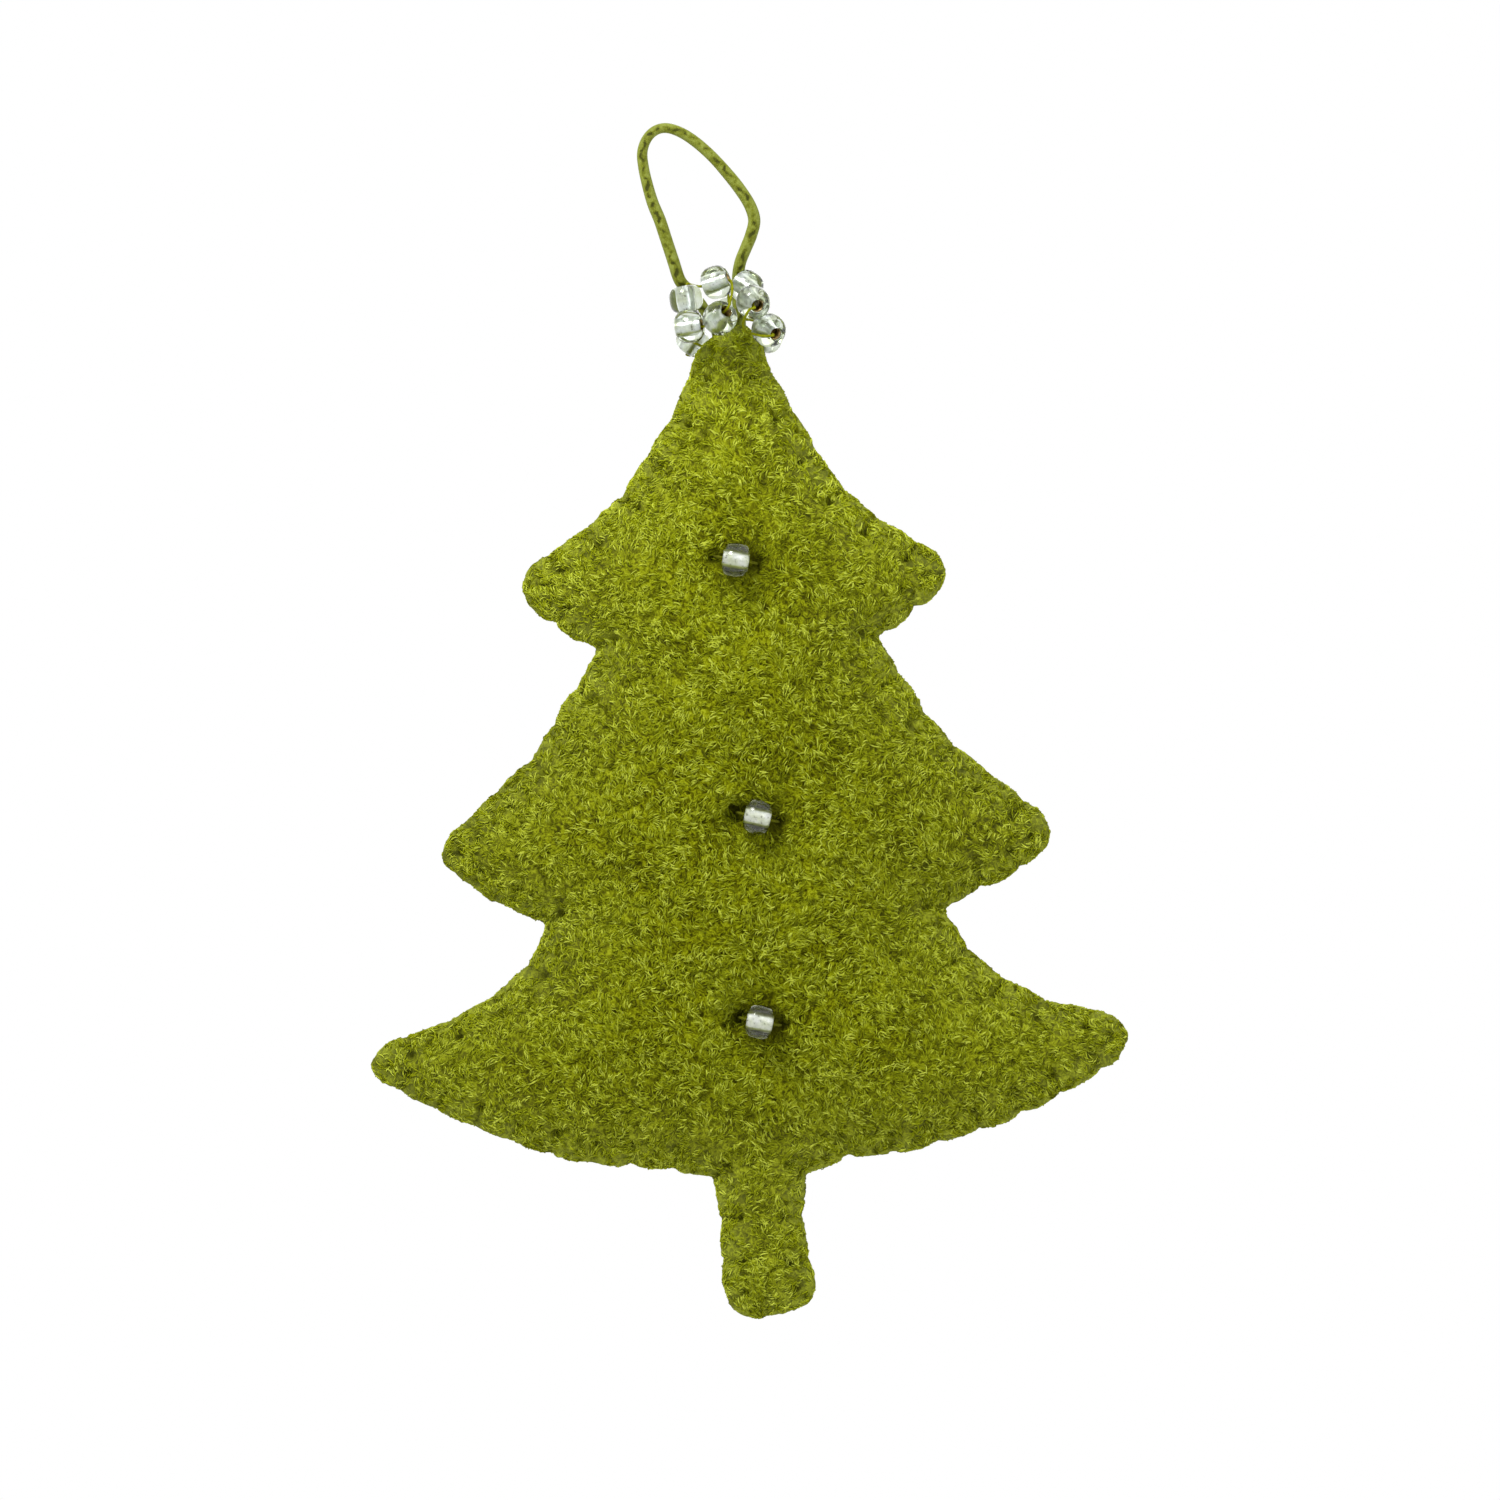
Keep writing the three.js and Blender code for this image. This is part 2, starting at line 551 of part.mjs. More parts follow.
// The tied beads, each on its own thread, which goes through the bore and both holes and is
// knotted behind the back panel.
for (const tie of ties) {
  const under = flatPoints
    .map((point, index) => ({ distance: between(point, tie.centre), index }))
    .filter(({ distance }) => distance < tie.reach)
    .map(({ index }) => index);
  const seat = Math.max(...under.map((index) => frontOuter[index]));
  const level = -(seat + seatGap + beadDiameter / 2);
  const around = flatPoints
    .map((point, index) => ({ distance: between(point, tie.centre), index }))
    .filter(({ distance }) => distance < tie.reach + tuftHole * seatShare)
    .map(({ index }) => backOuter[index]);
  const knotLevel = Math.max(...around) + seatGap + knotDiameter / 2;
  const bead = addBead(tie.name, [tie.centre[0], level, tie.centre[1]], [tie.across[0], 0, tie.across[1]]);
  const at = (run, y) => {
    const [x, z] = moved(tie.centre, tie.across, run);
    return [x, y, z];
  };
  const bend = tuftReach / 2;
  const route = [at(0, knotLevel)];
  for (const side of [-1, 1]) {
    const down = [
      at(side * (tie.reach - bend), knotLevel),
      at(side * tie.reach, knotLevel - bend),
      at(side * tie.reach, level + bend),
      at(side * (tie.reach - bend), level),
    ];
    route.push(...(side < 0 ? down : down.reverse()));
  }
  route.push(at(0, knotLevel));
  const threadSolid = strand(route.slice(0, -1), tuftThread, sectionSides.thread);
  const knot = ball(knotDiameter, at(0, knotLevel));
  const last = strand([route.at(-2), at(0, knotLevel)], tuftThread, sectionSides.thread);
  const name = bead.name.replace("bead", "bead_thread");
  add(name, joined(threadSolid, last, knot), colour.thread, 0.9);
}

// The bunch of beads at the tip and the threads that string them.
const bunchStep = (beadDiameter + beadLength) * bunchStepShare;
const fromTip = (shares) =>
  [tipMiddle[0], 0, tipMiddle[1]].map((value, axis) => value + shares[axis] * bunchStep);
const bunch = new Map(bunchShares.map(({ name, at, along }) => {
  addBead(name, fromTip(at), along);
  return [name, { middle: fromTip(at), along: along.map((value) => value / Math.hypot(...along)) }];
}));
const pastBead = beadLength / 2 + beadGap + tipThread / 2;
for (const { name, steps, endsInKnot } of tipThreadShares) {
  const through = (bead, run) => bead.middle.map((value, axis) => value + bead.along[axis] * run);
  const route = steps.flatMap((step) => {
    if (typeof step[0] === "number") return [fromTip(step)];
    const bead = bunch.get(step[0]);
    return [through(bead, -step[1] * pastBead), through(bead, step[1] * pastBead)];
  });
  const solids = [strand(route, tipThread, sectionSides.thread)];
  if (endsInKnot) {
    const last = bunch.get(steps.at(-1)[0]);
    solids.push(ball(knotDiameter, through(last, -pastBead - knotDiameter * knotSeatShare)));
  }
  add(name, joined(...solids), colour.thread, 0.9);
}

// The free loop, with round ends where it swings, and the buried ends with their knot.
const atTip = ([x, y, z]) => [tipMiddle[0] + x, y, tipMiddle[1] + z];
const freeLoop = loopRoute.map(atTip);
const loopSolid = strand(smoothLine(freeLoop, 2 * cordDiameter), cordDiameter, sectionSides.cord);
const roundEnds = [freeLoop[0], freeLoop.at(-1)].map((place) => ball(cordDiameter, place));
add("hanging_loop", joined(loopSolid, ...roundEnds), colour.cord, 0.6);
const knotPlace = atTip([0, 0, knotRise - throatLength]);
const ends = buriedEnds.map((points) => {
  const tail = [points.at(-1)[0], 0, knotPlace[2] - tipMiddle[1] - (cordKnotDiameter + cordDiameter) / 2];
  const line = smoothLine([...points, tail].map(atTip), cordDiameter);
  return strand(line, cordDiameter, sectionSides.cord);
});
add("cord_ends", joined(...ends, ball(cordKnotDiameter, knotPlace)), colour.cord, 0.6);

const origin = atTip(crest);
tree.position.set(-origin[0], 0, cordDiameter / 2 - origin[2]);
const part = new THREE.Group();
part.add(tree);

export default part;
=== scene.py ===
# A stuffed felt tree to hang up: two felt panels whip-stitched round a soft filling, glass beads
# tied through the body, a bunch of beads at the tip and a loop of waxed cord.
# Lengths are in millimetres until a mesh is made. +Z is up and the front faces -Y.
import math

import bpy
import numpy as np
from mathutils import Matrix, Vector, noise
from mathutils.bvhtree import BVHTree
from mathutils.geometry import delaunay_2d_cdt
from mathutils.kdtree import KDTree


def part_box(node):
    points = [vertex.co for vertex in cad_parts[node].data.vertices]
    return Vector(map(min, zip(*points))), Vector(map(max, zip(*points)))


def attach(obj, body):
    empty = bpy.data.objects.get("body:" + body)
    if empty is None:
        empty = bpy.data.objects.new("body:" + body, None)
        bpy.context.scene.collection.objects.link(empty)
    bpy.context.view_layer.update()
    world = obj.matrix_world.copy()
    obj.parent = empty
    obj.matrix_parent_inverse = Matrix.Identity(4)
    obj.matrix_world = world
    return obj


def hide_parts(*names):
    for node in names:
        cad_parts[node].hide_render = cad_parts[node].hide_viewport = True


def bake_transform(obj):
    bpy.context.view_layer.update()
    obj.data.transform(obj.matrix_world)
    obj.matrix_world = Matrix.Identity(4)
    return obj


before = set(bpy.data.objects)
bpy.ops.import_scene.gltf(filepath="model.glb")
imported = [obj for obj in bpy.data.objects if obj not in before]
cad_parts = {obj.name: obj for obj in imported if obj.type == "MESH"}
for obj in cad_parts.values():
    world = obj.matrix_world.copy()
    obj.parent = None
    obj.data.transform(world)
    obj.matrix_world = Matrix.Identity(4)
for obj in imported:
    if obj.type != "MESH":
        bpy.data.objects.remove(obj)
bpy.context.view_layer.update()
mm = 0.001
scene = bpy.context.scene
noise.seed_set(1)  # noise_vector is seeded by the clock otherwise.
print("frame loaded:", len(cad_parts), "nodes")


# Small helpers for meshes and lines.
def linked(name, data):
    made = bpy.data.objects.new(name, data)
    scene.collection.objects.link(made)
    return made


def meshObject(name, points, faces, smooth=True):
    mesh = bpy.data.meshes.new(name)
    mesh.from_pydata((np.asarray(points, float) * mm).tolist(), [], [tuple(face) for face in faces])
    mesh.polygons.foreach_set("use_smooth", [smooth] * len(mesh.polygons))
    mesh.update()
    return linked(name, mesh)


def pointsOf(mesh):
    return np.array([v.co for v in mesh.vertices]).reshape(-1, 3) / mm


def setAttribute(made, name, values):
    made.data.attributes.new(name, "FLOAT", "POINT").data.foreach_set("value", np.asarray(values, np.float32))


def readAttribute(made, name):
    values = np.zeros(len(made.data.vertices), np.float32)
    made.data.attributes[name].data.foreach_get("value", values)
    return values


def dress(made, body, slotName, *materials):
    for material in materials:
        made.data.materials.append(material)
    if body:
        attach(made, body)


# The faces between two rings of count points, which start at two places in one list of points.
def band(first, second, count):
    faces = []
    for k in range(count):
        beside = (k + 1) % count
        faces.append((first + beside, first + k, second + k, second + beside))
    return faces


# The edges that only one of the faces has, in the direction in which that face goes round.
def openEdges(faces):
    edges = {}
    for face in faces:
        for start, end in zip(face, [*face[1:], face[0]]):
            if edges.pop((end, start), None) is None:
                edges[start, end] = True
    return list(edges)


def runAlong(points):
    return np.concatenate([[0], np.cumsum(np.linalg.norm(np.diff(points, axis=0), axis=1))])


def evenly(points, step, closed=False):
    run = runAlong(points)
    places = np.linspace(0, run[-1], max(2, round(run[-1] / step)) + 1)
    even = np.stack([np.interp(places, run, points[:, axis]) for axis in range(points.shape[1])], axis=1)
    return even[:-1] if closed else even


# A smooth line through points, then cut into steps of about one length.
def smoothLine(points, step, closed=False):
    points = np.asarray(points, float)
    if closed:
        padded = np.vstack([points[-1:], points, points[:2]])
    else:
        padded = np.vstack([2 * points[0] - points[1], points, 2 * points[-1] - points[-2]])
    found = []
    for k in range(len(padded) - 3):
        a, b, c, d = padded[k : k + 4]
        for t in np.arange(12) / 12:
            curve = 2 * b + (c - a) * t + (2 * a - 5 * b + 4 * c - d) * t**2 + (3 * b - a - 3 * c + d) * t**3
            found.append(0.5 * curve)
    found.append(points[0] if closed else points[-1])
    return evenly(np.array(found), step, closed)


# A tube of rings along a line. reach(turn, run) gives each surface point's distance from the line.
def tube(path, sides, reach):
    tangents = np.gradient(path, axis=0)
    tangents /= np.linalg.norm(tangents, axis=1)[:, None]
    across = np.cross(tangents[0], [0.0, 1.0, 0.0] if abs(tangents[0][1]) < 0.9 else [1.0, 0.0, 0.0])
    points, faces = [], []
    for place, tangent, run in zip(path, tangents, runAlong(path)):
        across = across - tangent * across.dot(tangent)
        across /= np.linalg.norm(across)
        upward = np.cross(tangent, across)
        for side in range(sides):
            turn = 2 * math.pi * side / sides
            points.append(place + (across * math.cos(turn) + upward * math.sin(turn)) * reach(turn, run))
    last = (len(path) - 1) * sides
    for start in range(0, last, sides):
        faces += band(start + sides, start, sides)
    return points, faces + [tuple(reversed(range(sides))), tuple(range(last, last + sides))]


# The coil of a knot round a point: its reach along x and y, and its rise to both sides along z.
def coil(middle, reachX, reachY, rise, perTurn=16, turns=2.5):
    points, count = [], int(perTurn * turns)
    for k in range(count + 1):
        turn = 2 * math.pi * k / perTurn
        offset = (reachX * math.cos(turn), reachY * math.sin(turn), rise * (2 * k / count - 1))
        points.append(np.array(middle) + np.array(offset))
    return np.array(points)


# Helpers for node trees. An input is a value or the socket that feeds it.
def fill(node, inputs):
    for key, value in inputs.items():
        if isinstance(value, bpy.types.NodeSocket):
            node.id_data.links.new(value, node.inputs[key])
        else:
            node.inputs[key].default_value = value


def nodeMaker(tree):
    def add(kind, inputs=None, **settings):
        made = tree.nodes.new(kind)
        for key, value in settings.items():
            setattr(made, key, value)
        fill(made, inputs or {})
        return made

    return add


def shaderTree(name):
    material = bpy.data.materials.new(name)
    material.use_nodes = True
    return material, material.node_tree.nodes["Principled BSDF"], nodeMaker(material.node_tree)


# A surface's colour, its bump as height, strength and depth in millimetres, and its other values.
def setLook(add, surface, colour, bump=None, **values):
    inputs = {key.replace("_", " "): value for key, value in values.items()}
    if bump:
        height, strength, depth = bump
        bumpInputs = {"Height": height, "Strength": strength, "Distance": depth * mm}
        inputs["Normal"] = add("ShaderNodeBump", bumpInputs).outputs[0]
    fill(surface, {"Base Color": colour, **inputs})


# Object coordinates in millimetres, so that a texture's scale is in features per millimetre.
def placeInMm(add):
    place = add("ShaderNodeTexCoord").outputs["Object"]
    return add("ShaderNodeVectorMath", {0: place, "Scale": 1 / mm}, operation="SCALE").outputs[0]


def noiseNode(add, place, scale, detail, kind="FBM", output="Fac", **inputs):
    values = {"Vector": place, "Scale": scale, "Detail": detail, **inputs}
    return add("ShaderNodeTexNoise", values, noise_type=kind).outputs[output]


def attributeNode(add, name):
    return add("ShaderNodeAttribute", attribute_name=name).outputs["Fac"]


def mathNode(add, operation, *values):
    return add("ShaderNodeMath", dict(enumerate(values)), operation=operation).outputs[0]


def rangeNode(add, value, fromMin, fromMax, toMin=0.0, toMax=1.0):
    inputs = {"Value": value, "From Min": fromMin, "From Max": fromMax, "To Min": toMin, "To Max": toMax}
    return add("ShaderNodeMapRange", inputs).outputs[0]


def rampNode(add, value, *stops):
    ramp = add("ShaderNodeValToRGB", {"Fac": value})
    elements = ramp.color_ramp.elements
    while len(elements) < len(stops):
        elements.new(0.5)
    for element, (position, colour) in zip(elements, stops):
        element.position = position
        element.color = (*colour, 1)
    return ramp.outputs["Color"]


# The colour mix's sockets go by number, since its float and vector inputs have the same names.
def mixNode(add, share, first, second, kind="MIX"):
    inputs = {0: share, 6: first, 7: second}
    return add("ShaderNodeMix", inputs, data_type="RGBA", blend_type=kind).outputs[2]


# The camera stands where the photograph was taken, turned a little, as the tree lay.
photo = {"side": 1500, "pixelsPerMm": 8.7, "middle": (7.71, -71.08), "distance": 1500, "turn": 1.75}


def makeCamera():
    camera = linked("photoCamera", bpy.data.cameras.new("photoCamera"))
    camera.data.sensor_width = 36
    frameWidth = photo["side"] / photo["pixelsPerMm"]
    camera.data.lens = camera.data.sensor_width * photo["distance"] / frameWidth
    turned = Matrix.Rotation(math.radians(photo["turn"]), 4, "Y") @ Matrix.Rotation(math.pi / 2, 4, "X")
    x, z = photo["middle"]
    camera.matrix_world = Matrix.Translation(Vector((x, -photo["distance"], z)) * mm) @ turned
    scene.camera = camera


makeCamera()
scene.view_settings.view_transform = "Standard"

# The cord: one length, doubled. The free loop and the buried ends are measured from the middle of
# the tip's top edge.
cordStyle = {
    "diameter": 1.35,
    "tipMiddle": (6.8, 0, -22.825),
    "step": 0.13,
    "sides": 24,
    "pitch": 2.1,
    "zigzag": 0.32,
    "outward": 0.36,
    "stray": 0.3,
    "straySize": 5.5,
    "lineWidth": 0.3,
    "betweenDots": 0.4,
    "wander": 1.2,
    "wanderSize": 2.6,
    "clear": 0.9,
    "clearSize": 2.3,
    "speck": 0.4,
    "speckSize": 0.7,
    "leastClear": 0.4,
    "grooveShare": 0.16,
    "sideShade": 0.15,
    "fullness": 1.03,
    "swell": 0.08,
    "swellSize": 4.5,
    "slimAt": 41,
    "slimRun": 7.5,
    "slimBy": 0.15,
    "tailBottom": -15.675,
    "knotMiddle": -13,
    "knotReach": (2, 1.25),
    "knotRise": 1.1,
    "hinge": (4.8, 0, -15.525),
    "hingeNormal": (-0.2363, 0, 0.9717),
    "bendReach": 4,
    "light": (0.29, 0.335, 0.055),
    "middle": (0.19, 0.215, 0.012),
    "dark": (0.05, 0.056, 0.0005),
}
loopRoute = [
    (-5.68, 0, 6.4), (-6.22, 0, 8.3), (-6.93, 0, 10.7), (-7.58, 0, 12.9), (-8.33, 0, 14.9), (-8.88, 0, 17),
    (-9.28, 0, 19.1), (-9.36, 0, 20.8), (-8.84, 0, 22.25), (-7.88, 0, 23.2), (-6.62, 0, 23.5),
    (-5.1, 0, 23.05), (-3.4, 0, 21.95), (-1.5, 0, 20.2), (0.3, 0, 18.1), (1.78, 0, 16.1),
    (2.84, 0, 14.25), (3.26, 0, 12.6), (2.88, 0, 11), (2.26, 0, 9.55), (1.64, 0, 8.18),
]
leftEnd = [
    (-5.28, 0.1, 5.6), (-4.72, 0.45, 5), (-4.05, 0.85, 4.3), (-3.4, 1.08, 3.45), (-2.75, 1, 2.45),
    (-2.1, 0.6, 1.45), (-1.55, 0.22, 0.5), (-1.3, 0.03, -0.5), (-1.25, 0, -1.7), (-1.25, 0, -5.3),
    (-1.25, 0, -9.3), (-1.25, 0, cordStyle["tailBottom"]),
]
rightEnd = [
    (1.37, 0.07, 7.28), (1.22, 0.42, 6.4), (1.15, 0.88, 5.4), (1.15, 1.18, 4.3), (1.15, 1.08, 3.1),
    (1.2, 0.62, 1.9), (1.25, 0.15, 0.7), (1.25, 0, -0.5), (1.25, 0, -2.2), (1.25, 0, -5.3),
    (1.25, 0, -9.3), (1.25, 0, cordStyle["tailBottom"]),
]


def fromTip(points):
    return np.asarray(points, float) + np.array(cordStyle["tipMiddle"])


def ripple(run, size, seed):
    return noise.noise(Vector((run / size, seed, 0.5)))


# One at nought, and less to both sides of it, over about a width.
def bell(away, width, power=2):
    return np.exp(-((away / width) ** power))


# The cord is a fine braid: its strands dip under each other in a zigzag along the front, clear in some
# stretches and worn smooth in others. The same value paints the groove darker, as painted shade.
def braidAt(turn, run):
    style = cordStyle
    drift = style["wander"] * ripple(run, style["wanderSize"], 0.5)
    phase = 2 * math.pi * run / style["pitch"] + drift
    middle = style["outward"] + style["zigzag"] * math.sin(phase)
    middle += style["stray"] * ripple(run, style["straySize"], 7.5)
    aside = math.asin(math.cos(turn) * 0.999) - middle
    line = bell(aside, style["lineWidth"])
    dots = (0.5 + 0.5 * math.cos(2 * phase)) ** 2
    clear = style["clear"] + ripple(run, style["clearSize"], 9.5)
    clear += style["speck"] * ripple(run, style["speckSize"], 4.5)
    between = style["betweenDots"]
    return line * (between + (1 - between) * dots) * min(1, max(style["leastClear"], clear))


def braided(turn, run):
    style = cordStyle
    swell = style["fullness"] + style["swell"] * ripple(run, style["swellSize"], 3.5)
    swell -= style["slimBy"] * bell(run - style["slimAt"], style["slimRun"])
    return style["diameter"] / 2 * swell * (1 - style["grooveShare"] * braidAt(turn, run))


def cordMaterial():
    material, surface, add = shaderTree("waxedCord")
    place = placeInMm(add)
    flecks = noiseNode(add, place, 1.3, 3, Roughness=0.6)
    fibres = noiseNode(add, place, 6.0, 2, Roughness=0.7)
    uneven = rangeNode(add, flecks, 0.35, 0.6, 0.35, 1.3)
    # Painted shade: the groove attribute darkens the cord along the braid's groove.
    depth = mathNode(add, "MULTIPLY", attributeNode(add, "groove"), uneven)
    tone = mathNode(add, "ADD", depth, rangeNode(add, flecks, 0.35, 0.7, -0.08, 0.22))
    tone = mathNode(add, "ADD", tone, rangeNode(add, fibres, 0.3, 0.75, -0.08, 0.2))
    light, middle, dark = (cordStyle[key] for key in ("light", "middle", "dark"))
    colour = rampNode(add, tone, (0.02, light), (0.34, middle), (0.75, dark))
    setLook(add, surface, colour, (fibres, 0.6, 0.04), Roughness=0.6, Specular_IOR_Level=0.2)
    return material


def makeCord():
    style = cordStyle
    path = smoothLine(fromTip(leftEnd[::-1] + loopRoute + rightEnd), style["step"])
    cord = meshObject("cord", *tube(path, style["sides"], braided))
    run = runAlong(path)
    turns = [2 * math.pi * side / style["sides"] for side in range(style["sides"])]
    # The groove attribute is painted shade: the braid's groove, and sideShade on two opposite sides of the
    # cord.
    sideShades = [style["sideShade"] * math.sin(turn) ** 4 for turn in turns]
    shades = [braidAt(turn, place) + shade for place in run for turn, shade in zip(turns, sideShades)]
    setAttribute(cord, "groove", shades)
    material = cordMaterial()
    dress(cord, None, "cord", material)
    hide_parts("hanging_loop", "cord_ends")
    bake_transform(cord)

    # The knot that holds both ends between the panels.
    turns = coil(fromTip((0, 0, style["knotMiddle"])), *style["knotReach"], style["knotRise"], perTurn=40)
    knot = meshObject("cord_knot", *tube(evenly(turns, style["step"]), style["sides"], braided))
    setAttribute(knot, "groove", np.zeros(len(knot.data.vertices)))
    dress(knot, "tree", "cord", material)


makeCord()

# The felt's rim. Its whip stitches pull it in a little at each bite, and most along lower edges.
rimStyle = {
    "bite": 2.0,
    "bulge": 0.2,
    "dip": (0.0, 0.14),
    "lowerDip": (0.08, 0.5),
    "lowerFrom": 0.6,
    "smoothDip": 0.05,
    "smoothLeftOf": -17.5,
    "dipWidth": 0.75,
    "grow": 0.07,
    "tipBand": 0.2,
    "tipNarrow": 0.4,
    "cornerSwell": 0.45,
    "throatIn": 0.35,
    "neckIn": 0.36,
    "neckRun": 10,
    "neckFade": 2.5,
    "biteTurn": -75,
    "plainTurn": -130,
    "turnSlack": 2.5,
    "tipHalf": 2.9,
    "tipRise": (0.4, 0.45, -0.85),
    "edgeRadius": 0.62,
    "step": 0.42,
    "smoothing": 9,
}


# The outer face's edge of the CAD's front panel, as flat points in order.
def readRim():
    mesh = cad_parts["front_panel"].data
    mesh.calc_loop_triangles()
    ids, faces = {}, []
    for triangle in mesh.loop_triangles:
        if triangle.normal.y > -0.01:
            continue
        corners = [tuple(round(v / mm, 4) for v in mesh.vertices[index].co) for index in triangle.vertices]
        faces.append([ids.setdefault(corner, len(ids)) for corner in corners])
    places = list(ids)
    following = dict(sorted(openEdges(faces)))
    loops = []
    while following:
        start = next(iter(following))
        loop, here = [start], following.pop(start)
        while here != start:
            loop.append(here)
            here = following.pop(here)
        loops.append(loop)
    return np.array([(places[index][0], places[index][2]) for index in max(loops, key=len)])


def turnsOf(ring):
    after = np.roll(ring, -1, 0) - ring
    before = ring - np.roll(ring, 1, 0)
    cross = before[:, 0] * after[:, 1] - before[:, 1] * after[:, 0]
    return np.degrees(np.arctan2(cross, (before * after).sum(1)))


def outwardOf(ring):
    along = np.roll(ring, -1, 0) - np.roll(ring, 1, 0)
    along /= np.linalg.norm(along, axis=1)[:, None]
    return np.stack([along[:, 1], -along[:, 0]], axis=1)


# The sewn rim, and each stitch as its place on the rim and the way in to its hole.
def rimAndStitches():
    style = rimStyle
    cut = readRim()
    turns, outward = turnsOf(cut), outwardOf(cut)
    rng = np.random.default_rng(8)
    tipX, _, tipLevel = cordStyle["tipMiddle"]
    level, tilt, crown = style["tipRise"]
    controls, bites = [], []
    for k, point in enumerate(cut):
        if turns[k] > style["biteTurn"]:
            move = -outward[k] * style["bulge"]
            if point[1] > tipLevel - style["tipBand"]:
                aside = (point[0] - tipX) / style["tipHalf"]
                narrow = style["tipNarrow"] * max(0.0, -aside)
                move = np.array([narrow, level + tilt * aside + crown * aside**2])
            controls.append(point + move)
            continue
        mouth = (cut[k - 1] + cut[(k + 1) % len(cut)]) / 2
        inward = (point - mouth) / np.linalg.norm(point - mouth)
        onRim = point - inward * style["bite"]
        isCorner = abs(turns[k] - style["plainTurn"]) > style["turnSlack"]
        isLower = inward[1] > style["lowerFrom"]
        dip = 0.0 if isCorner else rng.uniform(*style["lowerDip" if isLower else "dip"])
        if isLower and point[0] < style["smoothLeftOf"]:
            dip = min(dip, style["smoothDip"])
        beyond = (cut[k - 2] + cut[(k + 2) % len(cut)]) / 2
        isThroat = (onRim - beyond) @ inward > 0
        swell = -style["throatIn"] if isThroat else style["cornerSwell"]
        controls.append(onRim - inward * swell * isCorner)
        bites.append((onRim, inward, dip))
    ring = smoothLine(controls, style["step"], closed=True)
    for _ in range(style["smoothing"]):
        ring = (np.roll(ring, 1, 0) + 2 * ring + np.roll(ring, -1, 0)) / 4
    outward = outwardOf(ring)
    upNeck = np.clip(style["neckFade"] * (1 + (ring[:, 1] - tipLevel) / style["neckRun"]), 0, 1)
    ring += outward * (style["grow"] - style["neckIn"] * upNeck * np.abs(outward[:, 0]))[:, None]
    seated = []
    for onRim, inward, dip in bites:
        away = np.linalg.norm(ring - onRim, axis=1)
        ring += inward * (dip * bell(away, style["dipWidth"]))[:, None]
        seated.append((ring[away.argmin()].copy(), inward))
    return ring, seated


def flatTree(ring):
    tree = KDTree(len(ring))
    for index, point in enumerate(ring):
        tree.insert((point[0], point[1], 0), index)
    tree.balance()
    return tree


# The rim is the body's outline, and the edge is where each panel starts to round over to it.
rimRing, stitches = rimAndStitches()
edgeRing = rimRing - outwardOf(rimRing) * rimStyle["edgeRadius"]
rimTree, edgeTree = flatTree(rimRing), flatTree(edgeRing)
print("rim read:", len(stitches), "stitches,", len(rimRing), "points")


def distanceTo(tree, flat):
    return np.array([tree.find((x, z, 0))[2] for x, z in flat])


# Rows of points inside a ring, none nearer to it than a share of the spacing.
def pointsInside(ring, spacing, wobble, rng, nearest=0.62):
    following = np.roll(ring, -1, 0)
    rowHeight = spacing * math.sin(math.pi / 3)
    found = []
    row, z = 0, ring[:, 1].min() + rowHeight / 2
    while z < ring[:, 1].max():
        crosses = (ring[:, 1] > z) != (following[:, 1] > z)
        a, b = ring[crosses], following[crosses]
        spans = np.sort(a[:, 0] + (z - a[:, 1]) / (b[:, 1] - a[:, 1]) * (b[:, 0] - a[:, 0]))
        shift = row % 2 / 2
        for left, right in spans.reshape(-1, 2):
            for k in range(math.ceil(left / spacing - shift), math.floor(right / spacing - shift) + 1):
                found.append(((k + shift) * spacing, z))
        row, z = row + 1, z + rowHeight
    found = np.array(found) + rng.uniform(-wobble, wobble, (len(found), 2)) * spacing
    return found[distanceTo(flatTree(ring), found) > nearest * spacing]


# Flat triangles over a ring and the points inside it. The ring's points come first.
def triangulated(ring, inner):
    flat = [Vector(p) for p in np.vstack([ring, inner])]
    edges = [(k, (k + 1) % len(ring)) for k in range(len(ring))]
    _, _, faces, origins, _, _ = delaunay_2d_cdt(flat, edges, [], 1, 1e-7)
    back = [min(origin) if origin else None for origin in origins]
    return np.array([tuple(p) for p in flat]), [tuple(back[k] for k in face) for face in faces]


def treeOf(points, faces):
    return BVHTree.FromPolygons([tuple(p) for p in points], [tuple(f) for f in faces])


def meshTree(mesh):
    return treeOf([v.co / mm for v in mesh.vertices], [p.vertices for p in mesh.polygons])


# How far a surface stands from the middle plane at a flat point, on the front (-1) or the back (1). The
# ray starts well outside the body. Beside the body, the nearest place counts.
def heightAt(tree, side, x, z):
    hit = tree.ray_cast(Vector((x, side * 40, z)), Vector((0, -side, 0)))[0]
    if hit is None:
        hit = tree.find_nearest(Vector((x, side * 1.5, z)))[0]
    return abs(hit.y)


def heightsAt(tree, side, flat):
    return np.array([heightAt(tree, side, x, z) for x, z in flat])


# The middle of a bead in the CAD, and the direction of its bore.
def beadPlace(node):
    points = np.unique(pointsOf(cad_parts[node].data).round(4), axis=0)
    low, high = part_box(node)
    centre = np.array((low + high) / 2) / mm
    values, vectors = np.linalg.eigh(np.cov((points - centre).T))
    odd = 0 if values[1] - values[0] > values[2] - values[1] else 2
    axis = vectors[:, odd]
    return centre, axis * np.sign(axis[np.argmax(np.abs(axis))])


tiedBeads = {name: beadPlace(name + "_bead") for name in ("upper", "middle", "lower")}

# The stuffed body. Its outer skin is blown up as cloth, pinned along the rim and under each bead.
pillowStyle = {
    "spacing": 2.4,
    "rimStep": 1.7,
    "rimHeight": 1.35,
    "startShare": 0.94,
    "simScale": 10,
    "pressure": 4.0,
    "frames": 20,
    "cap": 1.3,
    "seatRadius": 2.4,
    "seatLift": 0.22,
}


